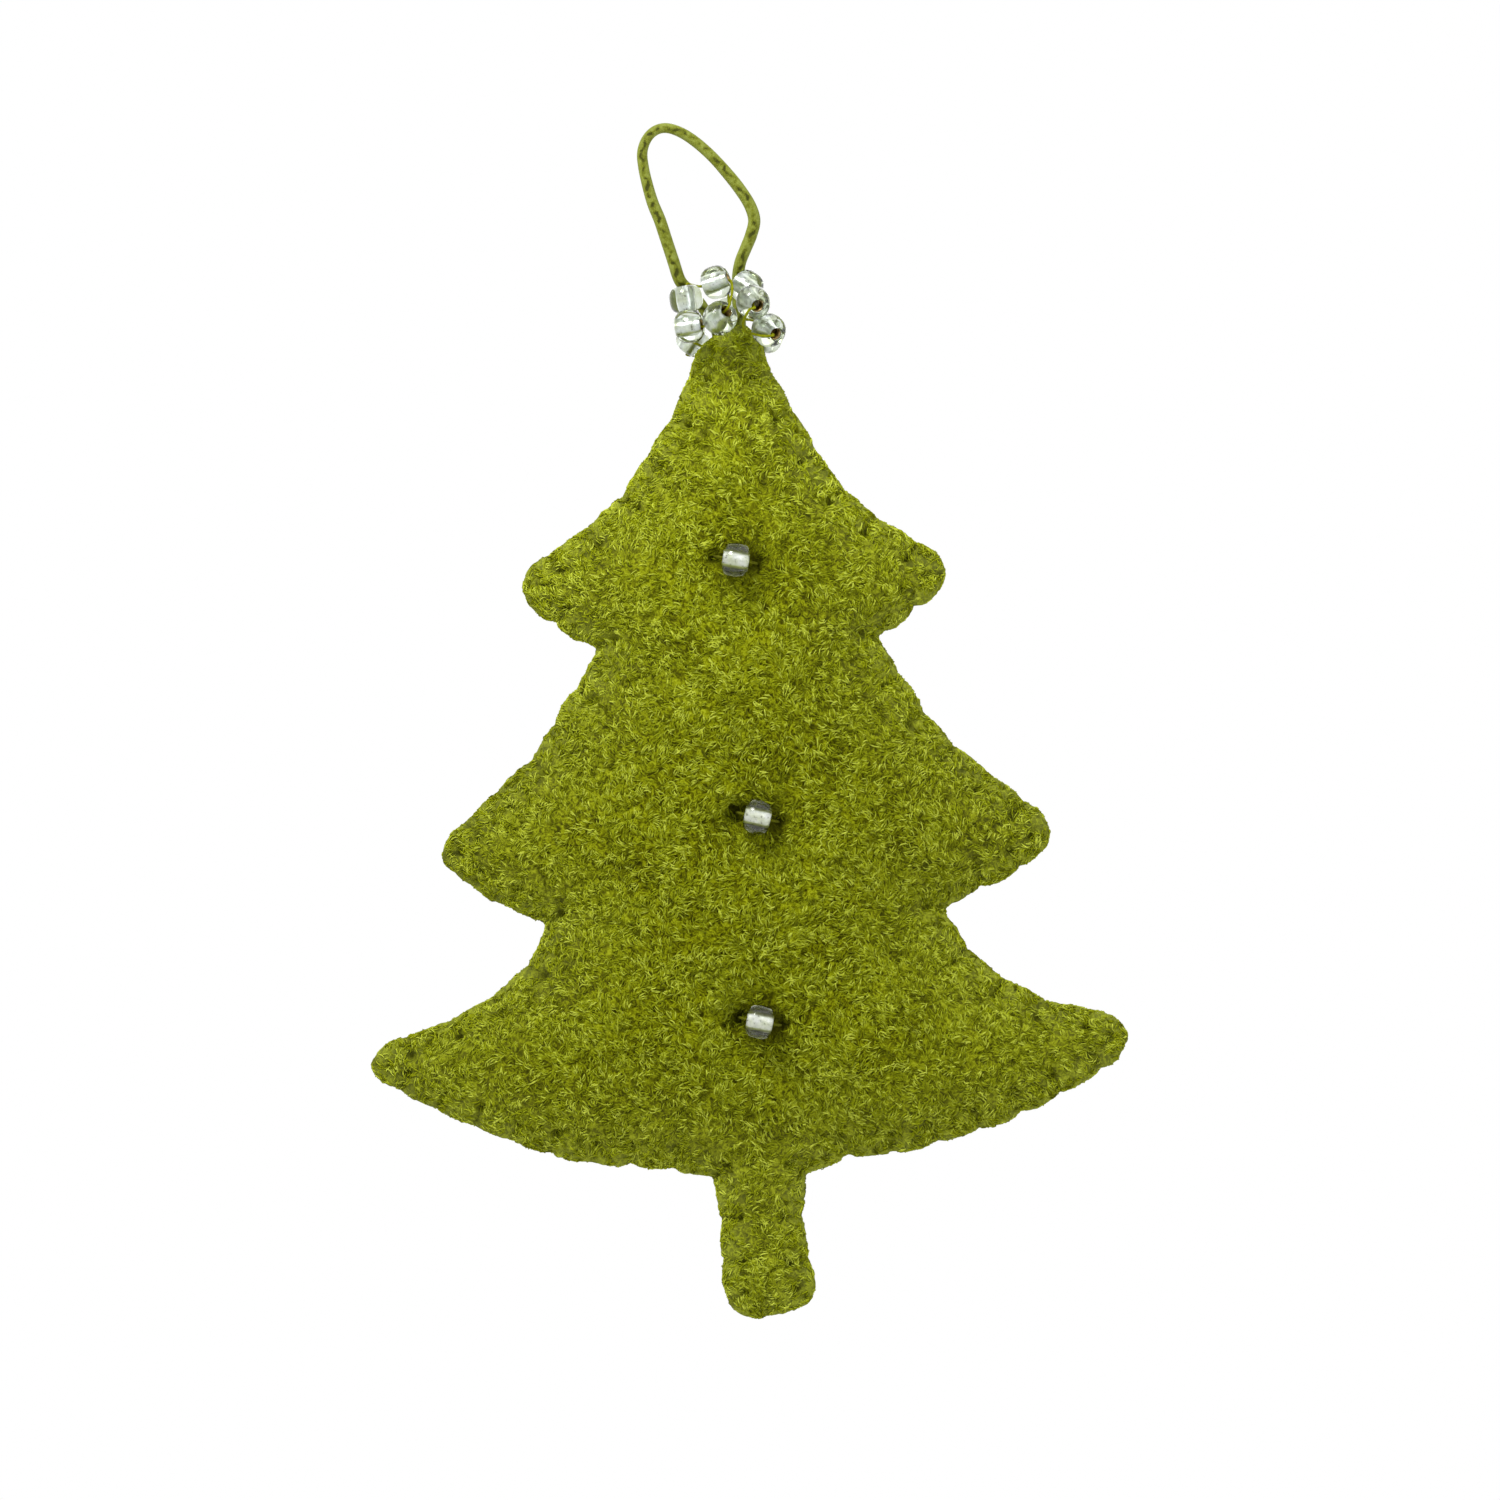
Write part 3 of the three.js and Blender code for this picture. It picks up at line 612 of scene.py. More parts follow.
def pillowStart():
    style = pillowStyle
    rng = np.random.default_rng(3)
    ring = evenly(np.vstack([edgeRing, edgeRing[:1]]), style["rimStep"], closed=True)
    flat, flatFaces = triangulated(ring, pointsInside(ring, style["spacing"], 0.08, rng))
    seats = [centre[[0, 2]] for centre, _ in tiedBeads.values()]
    points, pins = [], []
    for side, node in ((-1, "front_panel"), (1, "back_panel")):
        heights = heightsAt(meshTree(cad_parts[node].data), side, flat)
        for k, (x, z) in enumerate(flat):
            onRing, height = k < len(ring), heights[k]
            onSeat = min(math.dist((x, z), seat) for seat in seats) < style["seatRadius"]
            if onRing:
                height = style["rimHeight"]
            elif onSeat:
                height += style["seatLift"] * (side < 0)
            else:
                height = max(style["rimHeight"], height * style["startShare"])
            if onRing or onSeat:
                pins.append(len(points))
            points.append((x, side * height, z))
    count = len(flat)
    backFaces = [tuple(count + k for k in reversed(face)) for face in flatFaces]
    return np.array(points), flatFaces + backFaces + band(0, count, len(ring)), pins


# What read() finds in an object's mesh once its modifiers have worked. The object goes.
def afterModifiers(made, read):
    evaluated = made.evaluated_get(bpy.context.evaluated_depsgraph_get())
    found = read(evaluated.to_mesh())
    evaluated.to_mesh_clear()
    bpy.data.objects.remove(made)
    return found


def blownUp(points, faces, pins):
    style = pillowStyle
    pillow = meshObject("pillow", points * style["simScale"], faces)
    group = pillow.vertex_groups.new(name="pins")
    group.add(pins, 1.0, "REPLACE")
    settings = pillow.modifiers.new("cloth", "CLOTH").settings
    settings.vertex_group_mass = "pins"
    settings.use_pressure = True
    settings.uniform_pressure_force = style["pressure"]
    settings.effector_weights.gravity = 0
    for step in range(1, style["frames"] + 1):
        scene.frame_set(step)
    moved = afterModifiers(pillow, pointsOf) / style["simScale"] - points
    scene.frame_set(1)
    far = np.linalg.norm(moved, axis=1)
    print("cloth moved the skin", far.mean().round(2), "mm, at most", far.max().round(2))
    return points + moved * np.minimum(1, style["cap"] / np.maximum(far, 1e-6))[:, None]


# The blown skin, subdivided, as a tree that rays can hit.
def skinTree():
    points, faces, pins = pillowStart()
    points = blownUp(points, faces, pins)
    made = meshObject("skin", points, faces)
    made.modifiers.new("round", "SUBSURF").levels = 2
    return afterModifiers(made, meshTree)


skin = skinTree()
print("body blown up")

# The boiled wool: nubs about 2 mm across, with creases between them and finer lumps on top.
woolStyle = {
    "spacing": 0.34,
    "innerSpacing": 1.5,
    "thickness": 1.8,
    "rimThicknessShare": 0.72,
    "seamHalf": 0.02,
    "seamWidth": 2.6,
    "nubSize": 1.35,
    "nubHeight": 0.4,
    "nubPower": 2.2,
    "strength": (0.62, 0.38),
    "strengthSize": 6.3,
    "lumpSize": 0.7,
    "lumpHeight": 0.16,
    "fineShare": 0.45,
    "swirlSize": 2.4,
    "swirl": 0.7,
    "rimRise": 0.85,
    "rimRun": 1.2,
    "pulledFlat": 0.7,
    "wallRelief": 0.6,
    "wallPull": 0.25,
    # How far in from the rim the painted sheen reaches.
    "rimSheenRun": 3.5,
    "grooveDepth": 0.5,
    "grooveWidth": 0.5,
    "grooveReach": 2.6,
    "holeDepth": 0.8,
    "holeWidth": 0.62,
    "holeInset": 2.1,
    # The tied beads' painted shadow: its radius, its reach, its tones under and beside a bead, and its shift.
    "seatRadius": 2.1,
    "beadShadowReach": 4.0,
    "beadShadowTones": (0.75, 0.4),
    "beadShadowAside": (0.6, -0.25),
    "tieReach": 2.5,
    "tieDepth": 1.2,
    "tieWidth": 0.9,
    "wallAngles": (62, 34, 8, -20, -52),
}


# The wool's own relief at a point: how high it stands and how near the top of a nub it is.
def woolRelief(point, seed):
    style = woolStyle
    place = Vector(point) + Vector((seed * 31.0, seed * 17.0, seed * 7.0))
    place += noise.noise_vector(place / style["swirlSize"]) * style["swirl"]
    near = noise.voronoi(place / style["nubSize"])[0]
    plain, varied = style["strength"]
    dome = 1 - (near[0] / near[1]) ** style["nubPower"]
    dome *= plain + varied * noise.noise(place / style["strengthSize"])
    lump = noise.noise(place / style["lumpSize"])
    fine = noise.noise(place / (style["lumpSize"] * style["fineShare"]))
    height = style["nubHeight"] * dome + style["lumpHeight"] * (lump + 0.5 * fine)
    return height, min(1.0, max(0.0, 0.75 * dome + 0.3 * lump + 0.2))


# How deep the stitches and the tied threads draw the felt in at flat points.
def drawnIn(flat):
    style = woolStyle
    depth = np.zeros(len(flat))
    for onRim, inward in stitches:
        offset = flat - onRim
        inset = offset @ inward
        aside = offset @ np.array([inward[1], -inward[0]])
        reach = np.clip((style["grooveReach"] - inset) / style["grooveReach"], 0, 1) * (inset > -2)
        groove = style["grooveDepth"] * bell(aside, style["grooveWidth"]) * reach**0.5
        away = np.hypot(inset - style["holeInset"], aside)
        hole = style["holeDepth"] * bell(away, style["holeWidth"])
        depth = np.maximum(depth, np.where(np.abs(inset) < 6, np.maximum(groove, hole), 0))
    for centre, axis in tiedBeads.values():
        for side in (-1, 1):
            middle = centre[[0, 2]] + side * style["tieReach"] * axis[[0, 2]]
            away = np.linalg.norm(flat - middle, axis=1)
            depth = np.maximum(depth, style["tieDepth"] * bell(away, style["tieWidth"]))
    return depth


# Painted shadow: the wool is painted dark under each tied bead and beside it, shifted to its lower right.
def paintedBeadShadow(flat):
    style = woolStyle
    places = [centre[[0, 2]] + np.array(style["beadShadowAside"]) for centre, _ in tiedBeads.values()]
    near = np.min([np.linalg.norm(flat - place, axis=1) for place in places], axis=0)
    under, beside = style["beadShadowTones"]
    shade = under * bell(near, style["seatRadius"], 4) + beside * bell(near, style["beadShadowReach"])
    return np.minimum(1, shade)


def normalsOf(points, faces):
    mesh = bpy.data.meshes.new("measure")
    mesh.from_pydata([tuple(p) for p in points], [], faces)
    found = np.array([v.normal for v in mesh.vertices]).reshape(-1, 3)
    bpy.data.meshes.remove(mesh)
    return found


# A panel on one side of the body, and its outer surface as a tree.
def feltPanel(name, side, seed, material):
    style, rimHeight = woolStyle, pillowStyle["rimHeight"]
    rng = np.random.default_rng(seed)

    def inSpace(flat, heights):
        return np.stack([flat[:, 0], side * heights, flat[:, 1]], axis=1)

    flat, faces = triangulated(edgeRing, pointsInside(edgeRing, style["spacing"], 0.12, rng))
    count, ringCount = len(flat), len(edgeRing)
    least = rimHeight + style["rimRise"] * (1 - np.exp(-distanceTo(edgeTree, flat) / style["rimRun"]))
    heights = (heightsAt(skin, side, flat) ** 8 + least**8) ** 0.125
    heights[:ringCount] = rimHeight
    outer = inSpace(flat, heights)

    # The rounded edge, ring by ring from the outer face to the seam.
    outward = outwardOf(edgeRing)
    middle, half = (rimHeight + style["seamHalf"]) / 2, (rimHeight - style["seamHalf"]) / 2
    walls = []
    for angle in style["wallAngles"]:
        turn = math.radians(angle)
        place = edgeRing + outward * rimStyle["edgeRadius"] * math.cos(turn)
        walls.append(inSpace(place, np.full(ringCount, middle + half * math.sin(turn))))

    # The inner face is smooth and coarse.
    innerFlat, innerFaces = triangulated(edgeRing, pointsInside(edgeRing, style["innerSpacing"], 0.1, rng))
    share = np.minimum(1, distanceTo(rimTree, innerFlat) / style["seamWidth"])
    thick = style["thickness"] * (style["rimThicknessShare"] + (1 - style["rimThicknessShare"]) * share)
    innerHeights = np.maximum(heightsAt(skin, side, innerFlat) - thick, style["seamHalf"])
    innerHeights[:ringCount] = style["seamHalf"]

    points = np.vstack([outer, *walls, inSpace(innerFlat, innerHeights)])
    starts = [0] + [count + k * ringCount for k in range(len(walls) + 1)]
    skinCount = starts[-1]
    allFaces = faces + [tuple(skinCount + k for k in reversed(face)) for face in innerFaces]
    for start, following in zip(starts, starts[1:]):
        allFaces += band(start, following, ringCount)
    if side > 0:
        allFaces = [tuple(reversed(face)) for face in allFaces]

    # The relief, along the surface's own normals.
    normals = normalsOf(points, allFaces)[:skinCount]
    relief, nub = np.array([woolRelief(p, seed) for p in points[:skinCount]]).T
    pull = np.concatenate([drawnIn(flat), *[drawnIn(edgeRing)] * len(walls)])
    lift = relief * (1 - style["pulledFlat"] * np.minimum(1, pull)) - pull
    lift[count:] = relief[count:] * style["wallRelief"] - style["wallPull"] * pull[count:]
    points[:skinCount] += normals * lift[:, None]
    panel = meshObject(name, points, allFaces)
    rest = np.zeros(len(points) - skinCount)
    # Painted sheen: the edge attribute is one at the rim and falls off inward.
    edge = np.exp(-distanceTo(rimTree, points[:skinCount, [0, 2]]) / style["rimSheenRun"])
    # Painted shade and light: the nub attribute makes the creases darker and the nub tops lighter.
    setAttribute(panel, "nub", np.concatenate([nub, rest]))
    # Painted shade: the pull attribute darkens the wool where the stitches and the tied threads draw it in.
    setAttribute(panel, "pull", np.concatenate([np.minimum(1, pull), rest]))
    # The seat attribute is the tied beads' painted shadow, on the front panel only.
    setAttribute(panel, "seat", paintedBeadShadow(points[:, [0, 2]]) * (side < 0))
    setAttribute(panel, "edge", np.concatenate([edge, rest]))
    dress(panel, "tree", "felt", material)
    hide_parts("front_panel" if side < 0 else "back_panel")
    print(name, "made:", len(panel.data.polygons), "faces")
    return panel, treeOf(points[:skinCount], [face for face in allFaces if max(face) < skinCount])


feltLook = {
    # The ramp's stops: the darker two are reached most in the creases, as painted shade, and all four are
    # also the wool's own tones.
    "creaseShade": (0.035, 0.036, 0.0002),
    "dark": (0.1, 0.104, 0.0006),
    "middle": (0.245, 0.275, 0.0025),
    "light": (0.46, 0.505, 0.025),
    # Painted shade: the near-black colour of the drawn-in grooves and holes and of the tied beads' painted
    # shadow, and how far it is mixed in.
    "pull": (0.035, 0.035, 0.0005, 1),
    "paintedShadeShare": 0.85,
    # Painted sheen: the paler, greyer colour near the rim, and how far it is mixed in.
    "edge": (0.38, 0.44, 0.075, 1),
    "rimSheenShare": 0.35,
    # Painted light toward the tip: the levels over which it rises, and its gain.
    "topLightFrom": (-72, -24),
    "topLightGain": 1.22,
}


# Painted light: the wool's colour is raised a little toward the tip, for light that is brighter there.
def paintedTopLight(add, place, colour):
    level = add("ShaderNodeSeparateXYZ", {0: place}).outputs["Z"]
    gain = rangeNode(add, level, *feltLook["topLightFrom"], 1.0, feltLook["topLightGain"])
    grey = add("ShaderNodeCombineColor", {0: gain, 1: gain, 2: gain}).outputs[0]
    return mixNode(add, 1.0, colour, grey, "MULTIPLY")


# Noise from its lower to its upper level, spread evenly to both sides of nought.
def aboutNought(add, value):
    return rangeNode(add, value, 0.3, 0.7, -0.5, 0.5)


# The wool's tone, from the painted shade in the creases to the tip of a curl, and the height of its fibres.
# By the nub attribute the tone is painted lower in the creases and higher on the nub tops, as painted shade
# and light;
# the curls, hairs, specks and patches are the wool's own tone.
def woolNodes(add, place, nub):
    bent = noiseNode(add, place, 0.9, 2, output="Color")
    warp = {0: bent, 1: (1.6, 1.6, 1.6), 2: place}
    warped = add("ShaderNodeVectorMath", warp, operation="MULTIPLY_ADD").outputs[0]
    curls = noiseNode(add, warped, 1.9, 3, "RIDGED_MULTIFRACTAL", Roughness=0.65, Offset=0.9, Gain=1.6)
    curls = rangeNode(add, curls, 0.25, 1.6)
    hairs = noiseNode(add, warped, 4.5, 2, Roughness=0.7)
    specks = rangeNode(add, noiseNode(add, warped, 2.1, 2, Roughness=0.6), 0.3, 0.5, -0.32, 0.0)
    patches = aboutNought(add, noiseNode(add, place, 0.16, 2))
    tone = mathNode(add, "MULTIPLY_ADD", nub, 0.36, mathNode(add, "MULTIPLY", curls, 0.42))
    tone = mathNode(add, "MULTIPLY_ADD", hairs, 0.34, tone)
    tone = mathNode(add, "MULTIPLY_ADD", patches, 0.2, mathNode(add, "ADD", tone, specks))
    return tone, mathNode(add, "MULTIPLY_ADD", curls, 0.6, hairs)


def feltMaterial():
    material, surface, add = shaderTree("boiledWool")
    place, look = placeInMm(add), feltLook
    tone, height = woolNodes(add, place, attributeNode(add, "nub"))
    creases, shades = (0.12, look["creaseShade"]), (0.34, look["dark"])
    colour = rampNode(add, tone, creases, shades, (0.6, look["middle"]), (0.95, look["light"]))
    # Painted sheen: the wool is paler and greyer near the rim.
    edge = mathNode(add, "MULTIPLY", attributeNode(add, "edge"), look["rimSheenShare"])
    colour = mixNode(add, edge, colour, look["edge"])
    # Painted shade: the larger of the threads' pull and the tied beads' painted shadow darkens the wool.
    pull = mathNode(add, "MAXIMUM", attributeNode(add, "pull"), attributeNode(add, "seat"))
    colour = mixNode(add, mathNode(add, "MULTIPLY", pull, look["paintedShadeShare"]), colour, look["pull"])
    sheen = {"Sheen_Weight": 0.08, "Sheen_Roughness": 0.6, "Sheen_Tint": (0.6, 0.7, 0.15, 1)}
    # Painted light: the wool is lighter toward the tip.
    colour, bump = paintedTopLight(add, place, colour), (height, 0.7, 0.12)
    setLook(add, surface, colour, bump, Roughness=1.0, Specular_IOR_Level=0.03, **sheen)
    return material


felt = feltMaterial()
frontPanel, frontSurface = feltPanel("front_felt", -1, 1, felt)
backPanel, backSurface = feltPanel("back_felt", 1, 2, felt)

# The wool's curls lie on the felt in small tufts, each curl a tapered strand of a few rings. Those of
# one tuft share a tone and a direction. They keep off the rim's side and the felt that the threads draw in.
curlStyle = {
    "tufts": 2475,
    "perTuft": 4,
    "tuftSpread": 0.2,
    "tuftTone": 0.2,
    "toneSpread": 0.12,
    "tuftSwerve": 0.5,
    "swerve": 0.3,
    "rings": 4,
    "length": (0.6, 1.5),
    "radius": (0.06, 0.11),
    "bend": (0.2, 1.9),
    "lift": (0.04, 0.24),
    "flowSize": 5.0,
    "flowTurn": 3.2,
    "flowFrom": math.radians(30),
    "taper": (0.4, 1.0, 0.95, 0.3),
    "sink": 0.05,
    "facing": 0.2,
    "mostPull": 0.9,
    # How much the tied beads' painted shadow darkens a tuft.
    "beadShadowTone": 0.75,
    "dark": (0.108, 0.118, 0.001),
    "middle": (0.325, 0.368, 0.006),
    "light": (0.6, 0.668, 0.075),
}


def curlMaterial():
    material, surface, add = shaderTree("woolCurls")
    place = placeInMm(add)
    flecks = aboutNought(add, noiseNode(add, place, 2.2, 2))
    tone = mathNode(add, "MULTIPLY_ADD", flecks, 0.35, attributeNode(add, "tone"))
    dark, middle, light = (curlStyle[key] for key in ("dark", "middle", "light"))
    # The curls get the same painted light toward the tip.
    colour = paintedTopLight(add, place, rampNode(add, tone, (0.05, dark), (0.5, middle), (0.95, light)))
    sheen = {"Sheen_Weight": 0.08, "Sheen_Roughness": 0.5, "Sheen_Tint": (0.7, 0.78, 0.2, 1)}
    setLook(add, surface, colour, Roughness=0.95, Specular_IOR_Level=0.05, **sheen)
    return material


# Closed three-sided strands along lines that lie on a surface.
def strandObject(name, lines, normals, radii, tones):
    count, rings, _ = lines.shape
    along = np.gradient(lines, axis=1)
    along /= np.maximum(np.linalg.norm(along, axis=2), 1e-9)[..., None]
    across = np.cross(along, normals)
    across /= np.maximum(np.linalg.norm(across, axis=2), 1e-9)[..., None]
    upward = np.cross(across, along)
    corners, sides = [], []
    for corner in range(3):
        turn = 2 * math.pi * corner / 3 + math.pi / 2
        corners.append(lines + (across * math.cos(turn) + upward * math.sin(turn)) * radii[..., None])
    points = np.stack(corners, axis=2).reshape(-1, 3)
    for ring in range(rings - 1):
        for corner in range(3):
            a, b = ring * 3 + corner, ring * 3 + (corner + 1) % 3
            sides.append((a, a + 3, b + 3, b))
    last = rings * 3 - 1
    faces = []
    for shape in (sides, [(0, 1, 2), (last, last - 1, last - 2)]):
        strands = np.array(shape)[None] + (np.arange(count) * rings * 3)[:, None, None]
        faces += strands.reshape(-1, len(shape[0])).tolist()
    made = meshObject(name, points, faces)
    setAttribute(made, "tone", np.repeat(tones, rings * 3))
    return made


# Random places on a panel's outer face, most of them on its nubs, and how much the tied beads' painted shadow
# darkens them.
def scatterOn(panel, count, rng):
    vertices = panel.data.vertices
    nub, pull, seat = (readAttribute(panel, name) for name in ("nub", "pull", "seat"))
    outside = []
    for polygon in panel.data.polygons:
        corners = list(polygon.vertices)
        isFree = min(nub[corners]) > 0 and max(pull[corners]) < curlStyle["mostPull"]
        if isFree and abs(polygon.normal.y) > curlStyle["facing"]:
            outside.append(polygon)
    shares = np.array([p.area * (0.05 + np.mean(nub[list(p.vertices)]) ** 2) for p in outside])
    found, shades = [], []
    for index in rng.choice(len(outside), count, p=shares / shares.sum()):
        chosen = outside[index].vertices
        found.append(rng.dirichlet((1, 1, 1)) @ np.array([np.array(vertices[v].co) / mm for v in chosen[:3]]))
        shades.append(seat[chosen[0]])
    return np.array(found), np.array(shades)


def woolCurls(name, panel, surface, seed, material):
    style = curlStyle
    rng = np.random.default_rng(seed)
    tufts, perTuft, rings = style["tufts"], style["perTuft"], style["rings"]
    count = tufts * perTuft
    places, shades = scatterOn(panel, tufts, rng)
    middles = np.repeat(places, perTuft, axis=0)
    starts = middles + rng.normal(0, style["tuftSpread"], (count, 3))
    lines, normals = np.zeros((count, rings, 3)), np.zeros((count, rings, 3))
    lengths, bends, lifts = (rng.uniform(*style[key], count) for key in ("length", "bend", "lift"))
    bends *= np.repeat(rng.choice((-1, 1), tufts), perTuft)
    swerves = np.repeat(rng.normal(0, style["tuftSwerve"], tufts), perTuft)
    swerves += rng.normal(0, style["swerve"], count)
    for k, start in enumerate(starts):
        place = Vector(start)
        flow = noise.noise(Vector(middles[k]) / style["flowSize"]) * style["flowTurn"]
        heading = flow + swerves[k] + style["flowFrom"]
        for ring in range(rings):
            location, normal, _, _ = surface.find_nearest(place)
            arch = math.sin(math.pi * ring / (rings - 1))
            clear = max(0.0, min(1.0, (abs(normal.y) - 0.1) / 0.5))  # None stands up on the rim's side.
            lines[k, ring] = location + normal * (clear * lifts[k] * arch - style["sink"] * (1 - arch))
            normals[k, ring] = normal
            side = normal.cross(Vector((0, 0, 1)))
            if side.length < 0.05:
                side = normal.cross(Vector((1, 0, 0)))
            side.normalize()
            forward = side * math.cos(heading) + side.cross(normal) * math.sin(heading)
            place = location + forward * (lengths[k] / (rings - 1))
            heading += bends[k] / (rings - 1)
    radii = rng.uniform(*style["radius"], count)[:, None] * np.array(style["taper"])[None]
    # Tufts in the tied beads' painted shadow get a darker tone.
    tones = np.repeat(rng.normal(0.5, style["tuftTone"], tufts) - style["beadShadowTone"] * shades, perTuft)
    tones = np.clip(tones + rng.normal(0, style["toneSpread"], count), 0, 1)
    made = strandObject(name, lines, normals, radii, tones)
    dress(made, "tree", "felt", material)
    print(name, "made:", count, "strands")


curlWool = curlMaterial()
for order, layer in enumerate(("", "_over", "_top", "_loose", "_fine")):
    woolCurls("front_curls" + layer, frontPanel, frontSurface, 11 + order, curlWool)
for order, layer in enumerate(("", "_over", "_top")):
    woolCurls("back_curls" + layer, backPanel, backSurface, 21 + order, curlWool)

# The filling: one soft, lumpy wad between the panels.
fillStyle = {
    "inset": 3.4,
    "gap": 0.5,
    "spacing": 1.3,
    "longestEdge": 2.2,
    "leastHeight": (0.25, 0.2),
    "lump": 0.28,
    "lumpSize": 2.6,
    "dark": (0.62, 0.6, 0.55),
    "light": (0.9, 0.89, 0.86),
}


def fillMaterial():
    material, surface, add = shaderTree("looseFilling")
    strands = noiseNode(add, placeInMm(add), 1.4, 4, "RIDGED_MULTIFRACTAL")
    shares = rangeNode(add, strands, 0.2, 1.6)
    colour = rampNode(add, shares, (0, fillStyle["dark"]), (1, fillStyle["light"]))
    bump = (strands, 0.6, 0.2)
    setLook(add, surface, colour, bump, Roughness=1.0, Specular_IOR_Level=0.1, Sheen_Weight=0.4)
    return material


def makeFilling():
    style = fillStyle
    low, high = (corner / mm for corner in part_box("filling"))
    grid = pointsInside(edgeRing, style["spacing"], 0.1, np.random.default_rng(5))
    isIn = distanceTo(rimTree, grid) > style["inset"]
    grid = grid[isIn & (grid[:, 1] > low.z) & (grid[:, 1] < high.z)]
    places, _, faces, _, _, _ = delaunay_2d_cdt([Vector(p) for p in grid], [], [], 0, 1e-7)
    longest = style["longestEdge"] * style["spacing"]
    faces = [f for f in faces if max((places[f[k]] - places[f[k - 1]]).length for k in range(3)) < longest]
    thick = woolStyle["thickness"] + style["gap"]
    least, leastWithLump = style["leastHeight"]
    count, points = len(places), []
    for side in (-1, 1):
        for x, z in places:
            height = max(least, heightAt(skin, side, x, z) - thick)
            lump = style["lump"] * noise.noise(Vector((x, side * height, z)) / style["lumpSize"])
            points.append((x, side * max(leastWithLump, height - style["lump"] + lump), z))
    backFaces = [tuple(count + k for k in reversed(f)) for f in faces]
    walls = [(end, start, count + start, count + end) for start, end in openEdges(faces)]
    filling = meshObject("soft_filling", points, faces + backFaces + walls)
    dress(filling, "tree", "filling", fillMaterial())
    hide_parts("filling")
    print("filling made:", len(filling.data.polygons), "faces")


makeFilling()

# Sewing thread: two plies, matched to the felt. The sewing thread is darker than the felt, as painted shade
# in the grooves and at the beads' ends.
threadStyle = {
    "edge": 0.42,
    "tie": 0.34,
    "pitch": 1.3,
    "groove": 0.3,
    "step": 0.3,
    "fineStep": 0.2,
    "sides": 8,
    # The sewing thread's colours: the felt's green, darkened as painted shade.
    "light": (0.17, 0.185, 0.008),
    "dark": (0.06, 0.065, 0.002),
    "tipLight": (0.34, 0.37, 0.006),
    "tipDark": (0.16, 0.175, 0.002),
    "stitchInset": 2.15,
    "rimInset": 0.42,
    "overRim": 0.5,
    "holeSink": 0.85,
    "nearSink": 0.4,
    "lean": 0.42,
}


def threadMaterial(name, light, dark):
    material, surface, add = shaderTree(name)
    fibres = noiseNode(add, placeInMm(add), 5.0, 3, Roughness=0.7)
    colour = rampNode(add, fibres, (0.3, threadStyle[dark]), (0.65, threadStyle[light]))
    setLook(add, surface, colour, (fibres, 0.5, 0.03), Roughness=0.8, Specular_IOR_Level=0.1)
    return material


# The plies draw the surface in where they meet.
def threadTube(path, diameter, step=threadStyle["step"]):
    style = threadStyle

    def reach(turn, run):
        onPly = abs(math.cos(turn - 2 * math.pi * run / style["pitch"]))
        return diameter / 2 * (1 - style["groove"] * (1 - onPly))

    return tube(smoothLine(path, step), style["sides"], reach)


# A thread of one or more closed solids in one mesh.
def threadObject(name, node, material, *solids):
    points, faces = [], []
    for somePoints, someFaces in solids:
        base = len(points)
        points.extend(somePoints)
        faces.extend(tuple(index + base for index in face) for face in someFaces)
    thread = meshObject(name, points, faces)
    dress(thread, "tree", "thread", material)
    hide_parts(node)
    print(name, "made:", len(faces), "faces")


# One thread, whip-stitched all round: over the rim in each bite and on between the panels.
def makeEdgeThread(material):
    style = threadStyle

    def sunk(place, side, depth):
        return place, side * (heightAt(skin, side, *place) - depth)

    route = []
    for onRim, inward in stitches:
        hole, near = (onRim + inward * style["stitchInset"] * share for share in (1, 0.5))
        rim = onRim + inward * style["rimInset"]
        stops = [(hole, 0.1), sunk(hole, -1, style["holeSink"]), sunk(near, -1, style["nearSink"])]
        stops += [(rim, -style["overRim"]), (rim, style["overRim"])]
        stops += [sunk(near, 1, style["nearSink"]), sunk(hole, 1, style["holeSink"])]
        route += [(x, y, z) for (x, z), y in stops]
    threadObject("whip_stitches", "edge_thread", material, threadTube(route, style["edge"]))


# The sewing thread is darkened as painted shade.
shadeDarkenedThread = threadMaterial("sewingThread", "light", "dark")
makeEdgeThread(shadeDarkenedThread)

# The glass beads. Each has a silver lining plated on its bore.
beadStyle = {
    "radius": 1.95,
    "bore": 0.7,
    "half": 1.55,
    "roundness": 2.5,
    "profile": 26,
    "inner": (0.6, 0.2, -0.2, -0.6),
    "segments": 56,
    "wobble": 0.035,
    "wobbleLevel": 0.3,
    "liningOut": 0.04,
    "liningIn": 0.05,
    "liningHalf": 1.46,
    "leanIn": 0.55,
}


def glassMaterial(name, low, high, mirror):
    material, surface, add = shaderTree(name)
    ripples = noiseNode(add, placeInMm(add), 0.9, 1)
    colour = rampNode(add, ripples, (0.35, low), (0.65, high))
    glassy = {"Roughness": 0.02, "IOR": 1.5, "Specular_IOR_Level": mirror, "Transmission_Weight": 1.0}
    setLook(add, surface, colour, (ripples, 0.2, 0.06), **glassy)
    return material


def liningMaterial(name, bright, dull, share, roughness):
    material, surface, add = shaderTree(name)
    specks = noiseNode(add, placeInMm(add), 2.6, 3, Roughness=0.7)
    soft = tuple(0.8 * value for value in bright)
    colour = rampNode(add, specks, (share, dull), (share + 0.07, soft), (share + 0.3, bright))
    setLook(add, surface, colour, (specks, 0.2, 0.03), Metallic=1.0, Roughness=roughness)
    return material


